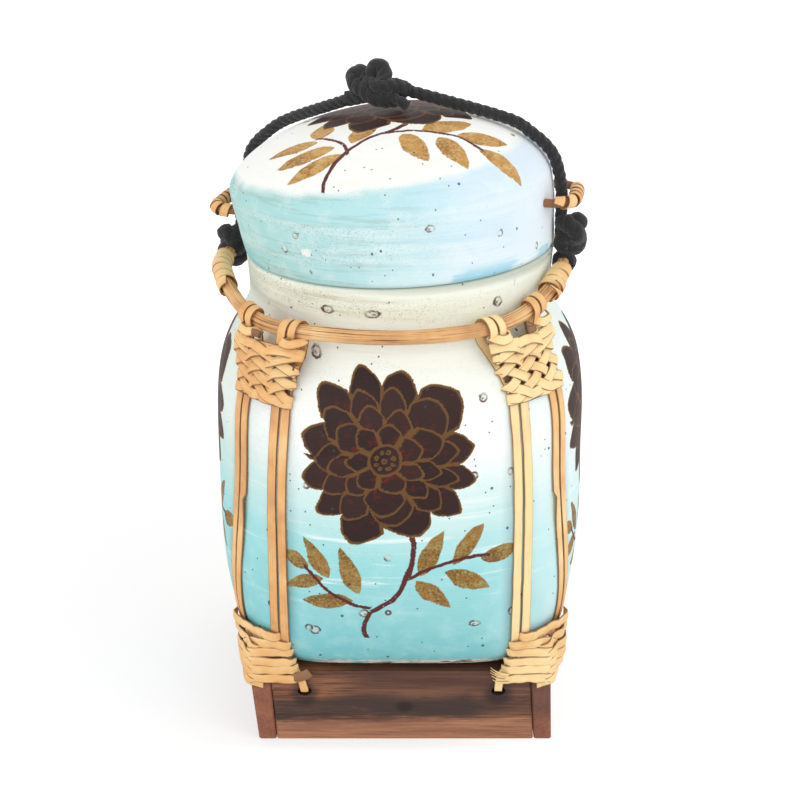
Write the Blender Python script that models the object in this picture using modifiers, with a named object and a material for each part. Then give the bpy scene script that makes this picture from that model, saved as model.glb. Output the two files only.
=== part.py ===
# Sticky rice basket: a painted bamboo body on a square wooden foot, with a lifting lid.
# Rattan straps, plaits and a hoop hold the body to the foot; a black cord carries it.
# Metres, +Z up, origin at the middle of the foot's underside, the front faces -Y.

import bmesh
import bpy
import numpy as np
from math import atan2, cos, hypot, pi, radians, sin, sqrt
from mathutils import Matrix, Vector

# Gap left between touching pieces
TOUCH = 0.0003

# Wooden foot
FOOT_MARGIN = 0.0095
FOOT_HEIGHT = 0.0345
SIDE_BOARD = 0.0086
FRONT_BOARD = 0.0125
BOARD_TAPER = 0.0010
FOOT_RACK = 0.0023
BOARD_EDGE = 0.0007
HOLE_WIDTH = 0.0062
HOLE_HEIGHT = 0.0046
HOLE_INSET = 0.0230
HOLE_RISE = 0.0248
HOLE_SIDES = 14

# Body: square at the seat, round at the neck
BODY_WALL = 0.0030
SEAT_HALF = 0.0555
BELLY_HALF = 0.0801
BELLY_RISE = 0.0780
SHOULDER_RISE = 0.0770
NECK_RISE = 0.0184
NECK_RADIUS = 0.0646
RIM_FLARE = 0.0011
ROUND_POWER = 2.0
BODY_POWER = 0.6
SEAT_POWER = 2.4
SEAT_POWER_FADE = 6.0
BELLY_FULLNESS = 0.55
SHOULDER_FALL = 2.8
NECK_CURVE = 1.5
BODY_SIDES = 44
BODY_ROWS = 15
ROW_CROWDING = 0.09
NECK_ROWS = 2

# Inner sleeve that centres the lid
SLEEVE_WALL = 0.0020
SLEEVE_DEPTH = 0.0040
SLEEVE_RISE = 0.0180
SLEEVE_PLAY = 0.0004

# Lid
LID_WALL = 0.0030
LID_FLARE = 0.0023
LID_SIDE = 0.0290
LID_CROWN = 0.0280
LID_SWAY = 0.0040
RIM_LEAN = 0.040
CROWN_LEAN = 0.050
LID_SIDE_ROWS = 4
LID_ROWS = 9
CROWN_CROWDING = 0.92
CROWN_SHOULDER = 0.92
CROWN_DOME = 1.2

# Rattan hoop over the shoulder
HOOP_REACH = 0.0089
HOOP_SHIFT = -0.0028
HOOP_CORE = 0.0030
HOOP_RISE = 0.0012
HOOP_LIFT_LEFT = 0.0080
HOOP_LIFT_RIGHT = 0.0135
HOOP_POINTS = 60

# Straps: flat rattan strips that run in pairs
STRIP_WIDTH = 0.0037
STRIP_THICK = 0.0009
STRIP_SPACE = 0.0043
PAIR_SHARE = 0.633
PAIR_GATHER = 0.0075
GATHER_DROP = 0.0080
LASH_FRONT = radians(32.0)
LASH_SIDE = radians(38.0)
STRAP_FOOT = 0.0080
LEG_LEAN = 0.10
LEG_POINTS = 18
TURN_POINTS = 12
TAIL_POINTS = 9

# Plaits over the straps
PLAIT_THICK = 0.0015
UPPER_PLAIT_DROP = 0.0047
UPPER_PLAIT_HEIGHT = 0.0275
LOWER_PLAIT_HIGH = 0.0215
LOWER_PLAIT_FULL = 0.0120
LOWER_PLAIT_DRAW = 0.10
CORNER_NEAR = 0.84
CORNER_ROUND = 0.04
PLAIT_OVERLAP = 0.0002
PLAIT_GAP = 0.0008
PLAIT_COLUMNS = 9
PLAIT_ROWS = 6

# Windings
WRAP_WIDTH = 0.0036
WRAP_THICK = 0.0009
WRAP_TURNS = 4
WRAP_PITCH = 0.0042
WRAP_START = radians(6.2)

# Lid loops and their windings
LOOP_CORE = 0.0018
LOOP_REACH_LEFT = 0.0100
LOOP_REACH_RIGHT = 0.0098
LOOP_HALF = 0.0150
LOOP_CORNER = 0.0080
LOOP_POINTS = 24
LOOP_TURN_LEFT = radians(165.0)
LOOP_TURN_RIGHT = radians(-10.5)
LOOP_RISE_RIGHT = 0.0205
LOOP_RISE_LEFT = 0.0160
LOOP_WRAP_TURNS = 5
LOOP_WRAP_THICK = 0.0008
LOOP_WRAP_WIDTH = 0.0034
LOOP_WRAP_PITCH = 0.0043

# Cord
CORD_RADIUS = 0.0026
CORD_CLEAR = 0.0011
CORD_POINTS = 17
CORD_TURN_LEFT = radians(162.0)
CORD_TURN_RIGHT = radians(-10.5)
KNOT_TURN_LEFT = radians(164.0)
KNOT_TURN_RIGHT = radians(-10.5)
BAND_WIDTH = 0.0034
BAND_REACH = 0.0052
STUB_RADIUS = 0.0027
STUB_HALF = 0.0040
STUB_SINK_LEFT = 0.0
STUB_SINK_RIGHT = 0.0005
KNOT_GAP = 0.0009
LUMP_SIDES = 14
LUMP_RINGS = 9
KNOT_WIDTH = 0.0060
KNOT_DEPTH = 0.0068
KNOT_HALF_LEFT = 0.0098
KNOT_HALF_RIGHT = 0.0105
KNOT_RAISE_LEFT = 0.0045
KNOT_RAISE_RIGHT = 0.0128
KNOT_OUT_LEFT = 0.0010
KNOT_OUT_RIGHT = 0.0022
CORD_STRAIGHT = 0.0040
BORE_SPAN = radians(10.3)

# Lumps of the top knot, in cord radii: place along the cord, rise over the crown, radii
TOP_KNOT_BODY = (-1.54, 3.15, (3.69, 2.38, 2.15))
TOP_ROOT_RIGHT = (1.35, 2.69, (2.62, 1.77, 1.62))
TOP_ROOT_LEFT = (-5.00, 1.77, (2.54, 1.69, 1.46))
TOP_BIGHT_LEFT = (-4.92, 4.69, (2.46, 1.77, 2.15))
TOP_BIGHT_MIDDLE = (-1.92, 6.15, (2.46, 1.77, 2.38))

SEAT_Z = FOOT_HEIGHT + TOUCH
BELLY_Z = SEAT_Z + BELLY_RISE
NECK_Z = BELLY_Z + SHOULDER_RISE
RIM_Z = NECK_Z + NECK_RISE
HOOP_Z = NECK_Z + HOOP_RISE
PLAIT_TOP = HOOP_Z - UPPER_PLAIT_DROP
LASH_START = PLAIT_TOP - UPPER_PLAIT_HEIGHT
GATHER_Z = BELLY_Z - GATHER_DROP
FOOT_SIZE = 2 * (SEAT_HALF + FOOT_MARGIN)
HOLE_SPREAD = FOOT_SIZE / 2 - HOLE_INSET
RIM_RADIUS = NECK_RADIUS + RIM_FLARE
LID_RADIUS = RIM_RADIUS + LID_FLARE
HOOP_RADIUS = NECK_RADIUS + HOOP_REACH
PAIR_SPREAD = PAIR_SHARE * BELLY_HALF


def clean_scene():
    for item in list(bpy.data.objects):
        bpy.data.objects.remove(item, do_unlink=True)


def make_collection(name):
    group = bpy.data.collections.new(name)
    bpy.context.scene.collection.children.link(group)
    return group


clean_scene()
basket_group = make_collection("sticky_rice_basket")
cutter_group = make_collection("cutters")


def make_material(name, colour, roughness, metallic=0.0):
    material = bpy.data.materials.new(name)
    material.use_nodes = True
    shader = material.node_tree.nodes["Principled BSDF"]
    shader.inputs["Base Color"].default_value = (*colour, 1.0)
    shader.inputs["Roughness"].default_value = roughness
    shader.inputs["Metallic"].default_value = metallic
    return material


foot_wood = make_material("walnut_wood", (0.22, 0.09, 0.045), 0.55)
body_paint = make_material("turquoise_paint", (0.35, 0.72, 0.74), 0.60)
lid_paint = make_material("pale_paint", (0.55, 0.82, 0.88), 0.60)
sleeve_bamboo = make_material("bamboo", (0.62, 0.46, 0.26), 0.65)
strip_rattan = make_material("rattan_strip", (0.80, 0.50, 0.22), 0.60)
hoop_rattan = make_material("rattan_core", (0.62, 0.34, 0.14), 0.60)
black_cord = make_material("black_cotton", (0.015, 0.014, 0.015), 0.90)


# Shaping helpers

def smooth_step(value):
    value = min(max(value, 0.0), 1.0)
    return value * value * (3.0 - 2.0 * value)


def soft_max(first, second, blend):
    return 0.5 * (first + second + sqrt((first - second) ** 2 + blend * blend))


def crowded(share):
    """Shift a share of a height so that rows lie closer at both ends."""
    return share - ROW_CROWDING * sin(2 * pi * share)


def unit(vector):
    vector = np.asarray(vector, float)
    return vector / np.linalg.norm(vector)


def half_width(z):
    """Half width of the body across its flats at height z."""
    if z <= BELLY_Z:
        part = (z - SEAT_Z) / BELLY_RISE
        part = min(max(part, 0.0), 1.0)
        return SEAT_HALF + (BELLY_HALF - SEAT_HALF) * (1.0 - (1.0 - part) ** 3) ** BELLY_FULLNESS
    if z <= NECK_Z:
        part = (z - BELLY_Z) / SHOULDER_RISE
        fall = 0.5 - 0.5 * cos(pi * part ** SHOULDER_FALL)
        return BELLY_HALF - (BELLY_HALF - NECK_RADIUS) * fall
    part = (z - NECK_Z) / NECK_RISE
    return NECK_RADIUS + (RIM_RADIUS - NECK_RADIUS) * part ** NECK_CURVE


def squareness(z):
    """Superellipse exponent of the plan: 2 is a circle, larger is squarer."""
    left = 1.0 - min(max((z - SEAT_Z) / (NECK_Z - SEAT_Z), 0.0), 1.0)
    return ROUND_POWER + BODY_POWER * left + SEAT_POWER * left ** SEAT_POWER_FADE


def body_radius(angle, z):
    power = squareness(z)
    spread = abs(cos(angle)) ** power + abs(sin(angle)) ** power
    return half_width(z) / spread ** (1.0 / power)


def body_point(angle, z, out=0.0):
    """Point on the body's outside, moved out along its normal."""
    def place(turn, height):
        reach = body_radius(turn, height)
        return np.array([reach * cos(turn), reach * sin(turn), height])
    step = 0.0005
    base = place(angle, z)
    if out == 0.0:
        return base
    across = place(angle + 0.01, z) - place(angle - 0.01, z)
    along = place(angle, min(z + step, RIM_Z)) - place(angle, max(z - step, SEAT_Z))
    return base + unit(np.cross(across, along)) * out


def face_depth(side, z):
    """Distance from the axis to a flat face of the body, at side metres from its middle."""
    power = squareness(z)
    width = half_width(z)
    ratio = min(abs(side) / width, 0.999)
    return width * (1.0 - ratio ** power) ** (1.0 / power)


def rim_height(x, z):
    """The rim is not level: it rises to the right."""
    return z + RIM_LEAN * x * smooth_step((z - NECK_Z) / NECK_RISE)


# Object helpers

def add_object(name, mesh, material, group=None):
    item = bpy.data.objects.new(name, mesh)
    (group or basket_group).objects.link(item)
    if material:
        mesh.materials.append(material)
    return item


def mesh_from(name, points, faces):
    mesh = bpy.data.meshes.new(name)
    mesh.from_pydata([tuple(point) for point in points], [], faces)
    mesh.update()
    return mesh


def shade_round(mesh, limit=40.0):
    mesh.shade_smooth()
    mesh.set_sharp_from_angle(angle=radians(limit))


def add_solidify(item, thickness, offset):
    solid = item.modifiers.new("Thickness", "SOLIDIFY")
    solid.thickness = thickness
    solid.offset = offset
    solid.use_even_offset = True
    return solid


def add_cut(item, cutter):
    cutter.hide_render = True
    cutter.display_type = "WIRE"
    cut = item.modifiers.new("Cut", "BOOLEAN")
    cut.operation = "DIFFERENCE"
    cut.solver = "EXACT"
    cut.object = cutter
    return cut


def grid_faces(rows, columns, closed):
    """Quads between rows of points; closed joins the last column to the first."""
    faces = []
    for row in range(rows - 1):
        for column in range(columns if closed else columns - 1):
            after = (column + 1) % columns
            first = row * columns
            second = first + columns
            faces.append((first + column, first + after, second + after, second + column))
    return faces


def add_tube(name, points, radius, material, cyclic=False, sides=1):
    """A tube along a polyline, as a curve with filled caps."""
    curve = bpy.data.curves.new(name, "CURVE")
    curve.dimensions = "3D"
    curve.bevel_depth = radius
    curve.bevel_resolution = sides
    curve.use_fill_caps = not cyclic
    line = curve.splines.new("POLY")
    line.points.add(len(points) - 1)
    for slot, point in zip(line.points, points):
        slot.co = (*point, 1.0)
    line.use_cyclic_u = cyclic
    item = bpy.data.objects.new(name, curve)
    basket_group.objects.link(item)
    curve.materials.append(material)
    return item


def to_mesh_object(item):
    """Turn a curve object into a welded mesh object with the same name."""
    name = item.name
    graph = bpy.context.evaluated_depsgraph_get()
    mesh = bpy.data.meshes.new_from_object(item.evaluated_get(graph))
    work = bmesh.new()
    work.from_mesh(mesh)
    bmesh.ops.remove_doubles(work, verts=work.verts, dist=0.00001)
    work.to_mesh(mesh)
    work.free()
    place = item.matrix_world.copy()
    bpy.data.objects.remove(item, do_unlink=True)
    solid = bpy.data.objects.new(name, mesh)
    solid.matrix_world = place
    basket_group.objects.link(solid)
    return solid


def add_strip(name, edges, thickness, material):
    """A flat strip between two edge lines, thickened evenly to both sides."""
    edges = np.asarray(edges, float)
    mesh = mesh_from(name, edges.reshape(-1, 3), grid_faces(len(edges), 2, False))
    item = add_object(name, mesh, material)
    add_solidify(item, thickness, 0.0)
    return item


def smooth_route(points, count):
    """Even points read from a smooth curve through the chosen ones (Catmull-Rom)."""
    chosen = np.asarray(points, float)
    padded = np.vstack([2 * chosen[0] - chosen[1], chosen, 2 * chosen[-1] - chosen[-2]])
    fine = []
    for index in range(len(chosen) - 1):
        before, start, end, after = padded[index:index + 4]
        for step in np.linspace(0.0, 1.0, 16, endpoint=False):
            fine.append(0.5 * (2 * start + (end - before) * step
                               + (2 * before - 5 * start + 4 * end - after) * step ** 2
                               + (3 * start - before - 3 * end + after) * step ** 3))
    fine.append(chosen[-1])
    fine = np.array(fine)
    length = np.concatenate([[0.0], np.cumsum(np.linalg.norm(np.diff(fine, axis=0), axis=1))])
    even = np.linspace(0.0, length[-1], count)
    return np.stack([np.interp(even, length, fine[:, axis]) for axis in range(3)], axis=1)


# Wooden foot

def foot_shift(z):
    """The hand-made foot stands racked: its boards move to the right towards the ground."""
    return FOOT_RACK * (1.0 - z / FOOT_HEIGHT)


def add_board(name, low, high, tapered):
    """A board between two corners; outer faces lean in to the ground along the tapered axes."""
    work = bmesh.new()
    bmesh.ops.create_cube(work, size=1.0)
    for vert in work.verts:
        for axis in range(3):
            vert.co[axis] = high[axis] if vert.co[axis] > 0 else low[axis]
        if vert.co.z < FOOT_HEIGHT / 2:
            for axis in tapered:
                outer = FOOT_SIZE / 2
                if abs(abs(vert.co[axis]) - outer) < TOUCH:
                    vert.co[axis] -= BOARD_TAPER * (1 if vert.co[axis] > 0 else -1)
            vert.co.x += foot_shift(0.0)
    mesh = bpy.data.meshes.new(name)
    work.to_mesh(mesh)
    work.free()
    board = add_object(name, mesh, foot_wood)
    bevel = board.modifiers.new("Edges", "BEVEL")
    bevel.width = BOARD_EDGE
    bevel.segments = 1
    return board


def add_hole(name, x, y, along_x):
    """An oval hole through a board, for the tail of a strap."""
    work = bmesh.new()
    bmesh.ops.create_cone(work, cap_ends=True, segments=HOLE_SIDES, radius1=0.5, radius2=0.5, depth=1.0)
    length = 3.0 * max(SIDE_BOARD, FRONT_BOARD)
    shape = Matrix.Diagonal((HOLE_WIDTH, HOLE_HEIGHT, length, 1.0))
    turn = Matrix.Rotation(pi / 2, 4, "X")
    face = Matrix.Rotation(pi / 2 if along_x else 0.0, 4, "Z")
    place = Matrix.Translation((x + foot_shift(HOLE_RISE), y, HOLE_RISE))
    bmesh.ops.transform(work, matrix=place @ face @ turn @ shape, verts=work.verts)
    mesh = bpy.data.meshes.new(name)
    work.to_mesh(mesh)
    work.free()
    return add_object(name, mesh, None, cutter_group)


def build_foot():
    outer = FOOT_SIZE / 2
    inner = outer - SIDE_BOARD
    depth = outer - FRONT_BOARD
    for name, side in (("foot_board_left", -1), ("foot_board_right", 1)):
        low = (min(side * outer, side * inner), -outer, 0.0)
        high = (max(side * outer, side * inner), outer, FOOT_HEIGHT)
        board = add_board(name, low, high, (0, 1))
        for end in (-1, 1):
            hole = add_hole(f"hole_{name}_{end}", side * outer, end * HOLE_SPREAD, True)
            add_cut(board, hole)
    for name, side in (("foot_board_front", -1), ("foot_board_back", 1)):
        reach = inner - TOUCH
        low = (-reach, min(side * outer, side * depth), 0.0)
        high = (reach, max(side * outer, side * depth), FOOT_HEIGHT)
        board = add_board(name, low, high, (1,))
        for end in (-1, 1):
            hole = add_hole(f"hole_{name}_{end}", end * HOLE_SPREAD, side * outer, False)
            add_cut(board, hole)


# Body, sleeve and lid

def build_body():
    """Loft from the square seat to the round rim, closed by a flat bottom."""
    heights = []
    for row in range(BODY_ROWS + 1):
        heights.append(SEAT_Z + (NECK_Z - SEAT_Z) * crowded(row / BODY_ROWS))
    heights += [NECK_Z + NECK_RISE * row / NECK_ROWS for row in range(1, NECK_ROWS + 1)]
    angles = [2 * pi * side / BODY_SIDES for side in range(BODY_SIDES)]
    points = []
    for z in heights:
        for angle in angles:
            point = body_point(angle, z)
            point[2] = rim_height(point[0], z)
            points.append(point)
    faces = grid_faces(len(heights), BODY_SIDES, True)
    faces.append(tuple(reversed(range(BODY_SIDES))))
    mesh = mesh_from("basket_body", points, faces)
    body = add_object("basket_body", mesh, body_paint)
    shade_round(mesh)
    add_solidify(body, BODY_WALL, -1.0)


def sleeve_radius():
    return NECK_RADIUS - BODY_WALL - SLEEVE_PLAY


def build_sleeve():
    """Turned tube glued inside the neck, standing up into the lid."""
    low = NECK_Z - SLEEVE_DEPTH
    high = RIM_Z + SLEEVE_RISE
    work = bmesh.new()
    start = work.verts.new((sleeve_radius(), 0.0, high))
    end = work.verts.new((sleeve_radius(), 0.0, low))
    edge = work.edges.new((start, end))
    bmesh.ops.spin(work, geom=[start, end, edge], cent=(0, 0, 0), axis=(0, 0, 1),
                   angle=2 * pi, steps=BODY_SIDES, use_merge=True)
    bmesh.ops.remove_doubles(work, verts=work.verts, dist=0.00001)
    bmesh.ops.recalc_face_normals(work, faces=work.faces)
    mesh = bpy.data.meshes.new("neck_sleeve")
    work.to_mesh(mesh)
    work.free()
    sleeve = add_object("neck_sleeve", mesh, sleeve_bamboo)
    shade_round(mesh)
    add_solidify(sleeve, SLEEVE_WALL, -1.0)


def lid_point(radius, angle, rise):
    """Place a point of the lid: radius and rise from its rim, then sway and lean."""
    share = rise / (LID_SIDE + LID_CROWN)
    x = radius * cos(angle) - LID_SWAY * min(rise / LID_SIDE, 1.0)
    y = radius * sin(angle)
    return np.array([x, y, RIM_Z + TOUCH + rise + x * (RIM_LEAN + CROWN_LEAN * share)])


def lid_outline():
    """Radius and rise from the rim up the side and over the crown."""
    outline = []
    for row in range(LID_SIDE_ROWS):
        part = row / LID_SIDE_ROWS
        radius = RIM_RADIUS + (LID_RADIUS - RIM_RADIUS) * sin(pi / 2 * part)
        outline.append((radius, LID_SIDE * part))
    for row in range(LID_ROWS):
        turn = pi / 2 * (row / LID_ROWS) ** CROWN_CROWDING
        radius = LID_RADIUS * cos(turn) ** CROWN_SHOULDER
        outline.append((radius, LID_SIDE + LID_CROWN * sin(turn) ** CROWN_DOME))
    return outline


def lid_surface(rise):
    """Radius of the lid's outside at a rise above its rim."""
    outline = lid_outline() + [(0.0, LID_SIDE + LID_CROWN)]
    rises = [pair[1] for pair in outline]
    return float(np.interp(rise, rises, [pair[0] for pair in outline]))


def heading(turn):
    return np.array([cos(turn), sin(turn), 0.0])


def by_side(side, left, right):
    """Choose a value for one side; side is -1 for the left and 1 for the right."""
    return right if side > 0 else left


def loop_axis(side):
    """Direction that a lid loop points in."""
    return heading(by_side(side, LOOP_TURN_LEFT, LOOP_TURN_RIGHT))


def lid_wall_point(turn, rise, out=0.0):
    """Point beside the lid's outside, out metres away from it on the level."""
    return lid_point(lid_surface(rise), turn, rise) + out * heading(turn)


def loop_base(side):
    """Point on the lid's wall behind the middle of a loop."""
    turn = by_side(side, LOOP_TURN_LEFT, LOOP_TURN_RIGHT)
    return lid_wall_point(turn, by_side(side, LOOP_RISE_LEFT, LOOP_RISE_RIGHT))


def add_loop_hole(name, side, hand):
    """Cutter for one of the two holes that a loop's legs pass through."""
    axis = loop_axis(side)
    across = np.cross((0, 0, 1), axis)
    centre = loop_base(side) + across * hand * LOOP_HALF - axis * LID_WALL
    work = bmesh.new()
    radius = LOOP_CORE + TOUCH
    bmesh.ops.create_cone(work, cap_ends=True, segments=12, radius1=radius, radius2=radius,
                          depth=6 * LID_WALL)
    turn = Vector(axis).to_track_quat("Z", "Y").to_matrix().to_4x4()
    bmesh.ops.transform(work, matrix=Matrix.Translation(centre) @ turn, verts=work.verts)
    mesh = bpy.data.meshes.new(name)
    work.to_mesh(mesh)
    work.free()
    return add_object(name, mesh, None, cutter_group)


def build_lid():
    points = []
    outline = lid_outline()
    angles = [2 * pi * side / BODY_SIDES for side in range(BODY_SIDES)]
    for radius, rise in outline:
        points += [lid_point(radius, angle, rise) for angle in angles]
    faces = grid_faces(len(outline), BODY_SIDES, True)
    points.append(lid_point(0.0, 0.0, LID_SIDE + LID_CROWN))
    top = len(points) - 1
    last = (len(outline) - 1) * BODY_SIDES
    for side in range(BODY_SIDES):
        faces.append((last + side, last + (side + 1) % BODY_SIDES, top))
    mesh = mesh_from("lid_shell", points, faces)
    lid = add_object("lid_shell", mesh, lid_paint)
    shade_round(mesh)
    add_solidify(lid, LID_WALL, -1.0)
    for side in (-1, 1):
        for hand in (-1, 1):
            add_cut(lid, add_loop_hole(f"loop_hole_{side}_{hand}", side, hand))


# Windings

def ring_radius(core, thickness):
    """Radius of the middle of a strip wound round a bar, clear of it between its points."""
    return (core + 2 * TOUCH) / cos(pi / TURN_POINTS) + thickness / 2


def wind(name, bar, first, turns, pitch, core, width, thickness):
    """A flat strip wound as one unbroken helix round a bar.

    bar gives the bar's middle and its outward and upward directions at a distance along
    it. The least gap between neighbouring turns is measured and printed.
    """
    ring = ring_radius(core, thickness)
    edges = []
    for step in range(int(turns * TURN_POINTS) + 1):
        turn = step / TURN_POINTS
        pair = []
        for edge in (-width / 2, width / 2):
            middle, out, up = bar(first + pitch * turn + edge)
            pair.append(middle + ring * (cos(2 * pi * turn) * out + sin(2 * pi * turn) * up))
        edges.append(pair)
    print_gap(name, np.array(edges))
    return add_strip(name, edges, thickness, strip_rattan)


def print_gap(name, edges):
    """Least distance between the facing edges of turns more than half a turn apart."""
    least = 1.0
    apart = TURN_POINTS // 2 + 1
    for index in range(len(edges) - apart):
        for one in (0, 1):
            rest = edges[index + apart:].reshape(-1, 3)
            least = min(least, float(np.linalg.norm(rest - edges[index, one], axis=1).min()))
    print(f"{name}: least gap between turns {least * 1000:.2f} mm")


# Hoop

def hoop_height(angle):
    """Height of the hoop's middle: the cord draws it up at both sides."""
    lift = HOOP_LIFT_RIGHT if cos(angle) > 0 else HOOP_LIFT_LEFT
    return HOOP_Z + lift * cos(angle) ** 4


def hoop_point(angle):
    x = HOOP_SHIFT + HOOP_RADIUS * cos(angle)
    return np.array([x, HOOP_RADIUS * sin(angle), hoop_height(angle)])


def hoop_frame(angle):
    """Outward and upward directions square to the hoop."""
    along = unit(hoop_point(angle + 0.01) - hoop_point(angle - 0.01))
    up = unit(np.cross((cos(angle), sin(angle), 0.0), along))
    return unit(np.cross(along, up)), up


def hoop_reach(angle):
    """Distance from the basket's axis to the hoop's middle, seen from the axis."""
    return HOOP_SHIFT * cos(angle) + sqrt(HOOP_RADIUS ** 2 - (HOOP_SHIFT * sin(angle)) ** 2)


def build_hoop():
    points = [hoop_point(2 * pi * step / HOOP_POINTS) for step in range(HOOP_POINTS)]
    add_tube("shoulder_hoop", points, HOOP_CORE, hoop_rattan, cyclic=True)


def build_hoop_windings():
    """Windings beside the knots, on the front side of each."""
    for name, knot, way in (("hoop_winding_right", KNOT_TURN_RIGHT, -1),
                            ("hoop_winding_left", KNOT_TURN_LEFT, 1)):
        def bar(along, knot=knot, way=way):
            angle = knot + way * (WRAP_START + along / HOOP_RADIUS)
            return (hoop_point(angle), *hoop_frame(angle))
        wind(name, bar, WRAP_WIDTH / 2, WRAP_TURNS, WRAP_PITCH,
             HOOP_CORE, WRAP_WIDTH, WRAP_THICK)


# Straps

def turn_quarter(point, quarter):
    """Turn a point of the front face to one of the four faces."""
    x, y, z = point
    for _ in range(quarter % 4):
        x, y = -y, x
    return np.array([x, y, z])


def pair_offset(z):
    """Distance of a pair of strips from the middle of its face."""
    share = max(z - GATHER_Z, 0.0) / (HOOP_Z - GATHER_Z)
    return PAIR_SPREAD - PAIR_GATHER * share ** 2


def lash_angle(quarter, hand):
    """Angle on the hoop of a pair's lashing; hand is -1 to the left of the face."""
    spread = LASH_FRONT if quarter % 2 == 0 else LASH_SIDE
    return -pi / 2 + hand * spread + quarter * pi / 2


def lash_point(quarter, hand, shift, turn):
    """Point of a strip's middle surface on its lashing round the hoop.

    shift is the distance along the hoop towards the corner, turn the angle round it
    from the hoop's outside, over its top.
    """
    angle = lash_angle(quarter, hand) + hand * shift / HOOP_RADIUS
    out, up = hoop_frame(angle)
    ring = ring_radius(HOOP_CORE, STRIP_THICK)
    return hoop_point(angle) + ring * (cos(turn) * out + sin(turn) * up)


def leaning_line(angle, z, beyond):
    """Distance from the axis of a line that leans out to the hoop, beyond its middle."""
    return hoop_reach(angle) + beyond - (hoop_height(angle) - z) * LEG_LEAN


def leg_edge(quarter, hand, side, target, beyond, count):
    """One edge line of a leg, from its foot up to its target on the hoop.

    It lies on the body, meets the foot's face below, and leaves the shoulder to reach
    the hoop.
    """
    lift = TOUCH + STRIP_THICK / 2
    face = FOOT_SIZE / 2 + lift
    finish = atan2(target[1], target[0])
    low = SEAT_Z + STRAP_FOOT
    line = []
    for row in range(count):
        z = low + (target[2] - low) * crowded(row / count)
        offset = pair_offset(z) + side
        place = turn_quarter((hand * offset, -face_depth(offset, z), z), quarter)
        angle = atan2(place[1], place[0])
        gap = (finish - angle + pi) % (2 * pi) - pi
        angle += gap * smooth_step((z - LASH_START) / (target[2] - LASH_START))
        point = body_point(angle, z, lift)
        if z < BELLY_Z:
            local = turn_quarter(point, -quarter)
            local[1] = -soft_max(-local[1], face, TOUCH)
            point = turn_quarter(local, quarter)
        else:
            radius = hypot(point[0], point[1])
            wide = soft_max(radius, leaning_line(angle, point[2], beyond), TOUCH)
            point[:2] *= wide / radius
        line.append(point)
    return line


def tail_edge(quarter, hand, start, shift):
    """One edge line of a strap's tail, down the foot's face and into its hole."""
    lift = TOUCH + STRIP_THICK / 2
    face = FOOT_SIZE / 2
    first = turn_quarter(start, -quarter)
    side = hand * HOLE_SPREAD + shift
    bend = (first[0] + side) / 2
    chosen = [
        first,
        (bend, -face - lift, (first[2] + HOLE_RISE) / 2),
        (side, -face - lift, HOLE_RISE + HOLE_HEIGHT * 0.45),
        (side, -face + lift, HOLE_RISE),
        (side, -face + SIDE_BOARD / 2, HOLE_RISE),
    ]
    tail = [turn_quarter(point, quarter) for point in smooth_route(chosen, TAIL_POINTS)]
    for point in tail:
        point[0] += foot_shift(min(point[2], FOOT_HEIGHT))
    return tail


def add_strap(name, quarter, hand):
    """One strip: up the leg by the corner, one and a half turns round the hoop, down the
    second leg and into the foot."""
    spread = 0.75 * STRIP_SPACE
    ring = ring_radius(HOOP_CORE, STRIP_THICK)
    steps = TURN_POINTS * 3 // 2
    lines = []
    for edge in (STRIP_WIDTH / 2, -STRIP_WIDTH / 2):
        first = lash_point(quarter, hand, spread + edge, 0.0)
        last = lash_point(quarter, hand, -spread + edge, 3 * pi)
        line = leg_edge(quarter, hand, STRIP_SPACE / 2 + edge, first, ring, LEG_POINTS)
        for step in range(steps + 1):
            share = step / steps
            line.append(lash_point(quarter, hand, spread * (1 - 2 * share) + edge, 3 * pi * share))
        down = leg_edge(quarter, hand, -STRIP_SPACE / 2 + edge, last, -ring, LEG_POINTS)
        down.reverse()
        line += down
        line += tail_edge(quarter, hand, down[-1], hand * edge)[1:]
        lines.append(line)
    edges = np.stack([np.array(lines[0]), np.array(lines[1])], axis=1)
    add_strip(name, edges, STRIP_THICK, strip_rattan)


# Plaits

def plait_angle(z):
    """Angle from the corner's diagonal to the edge of a plait."""
    side = pair_offset(z) - (STRIP_SPACE + STRIP_WIDTH) / 2 - PLAIT_OVERLAP
    return pi / 4 - atan2(side, face_depth(side, z))


def upper_plait_point(angle, z):
    """Inner skin of an upper plait, which leans out to the hoop at its top."""
    point = body_point(angle, z, TOUCH + STRIP_THICK + PLAIT_GAP)
    radius = hypot(point[0], point[1])
    beyond = ring_radius(HOOP_CORE, STRIP_THICK) + STRIP_THICK / 2 + PLAIT_GAP
    point[:2] *= soft_max(radius, leaning_line(angle, z, beyond), TOUCH) / radius
    return point


def lower_plait_point(angle, z):
    """Inner skin of a lower plait, which goes from the body out to the foot's corner.

    Beside the corner's diagonal its top is drawn in to the body.
    """
    point = body_point(angle, z, TOUCH + STRIP_THICK + PLAIT_GAP)
    radius = hypot(point[0], point[1])
    less, more = sorted((abs(cos(angle)), abs(sin(angle))))
    drawn = smooth_step((z - SEAT_Z - LOWER_PLAIT_FULL) / (LOWER_PLAIT_HIGH - LOWER_PLAIT_FULL))
    drawn *= smooth_step((less / more - CORNER_NEAR) / (1 - CORNER_NEAR))
    face = (FOOT_SIZE / 2 + TOUCH + STRIP_THICK + PLAIT_GAP) * (1 - LOWER_PLAIT_DRAW * drawn)
    square = face / soft_max(less, more, CORNER_ROUND)
    point[:2] *= soft_max(radius, square, TOUCH) / radius
    return point


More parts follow.
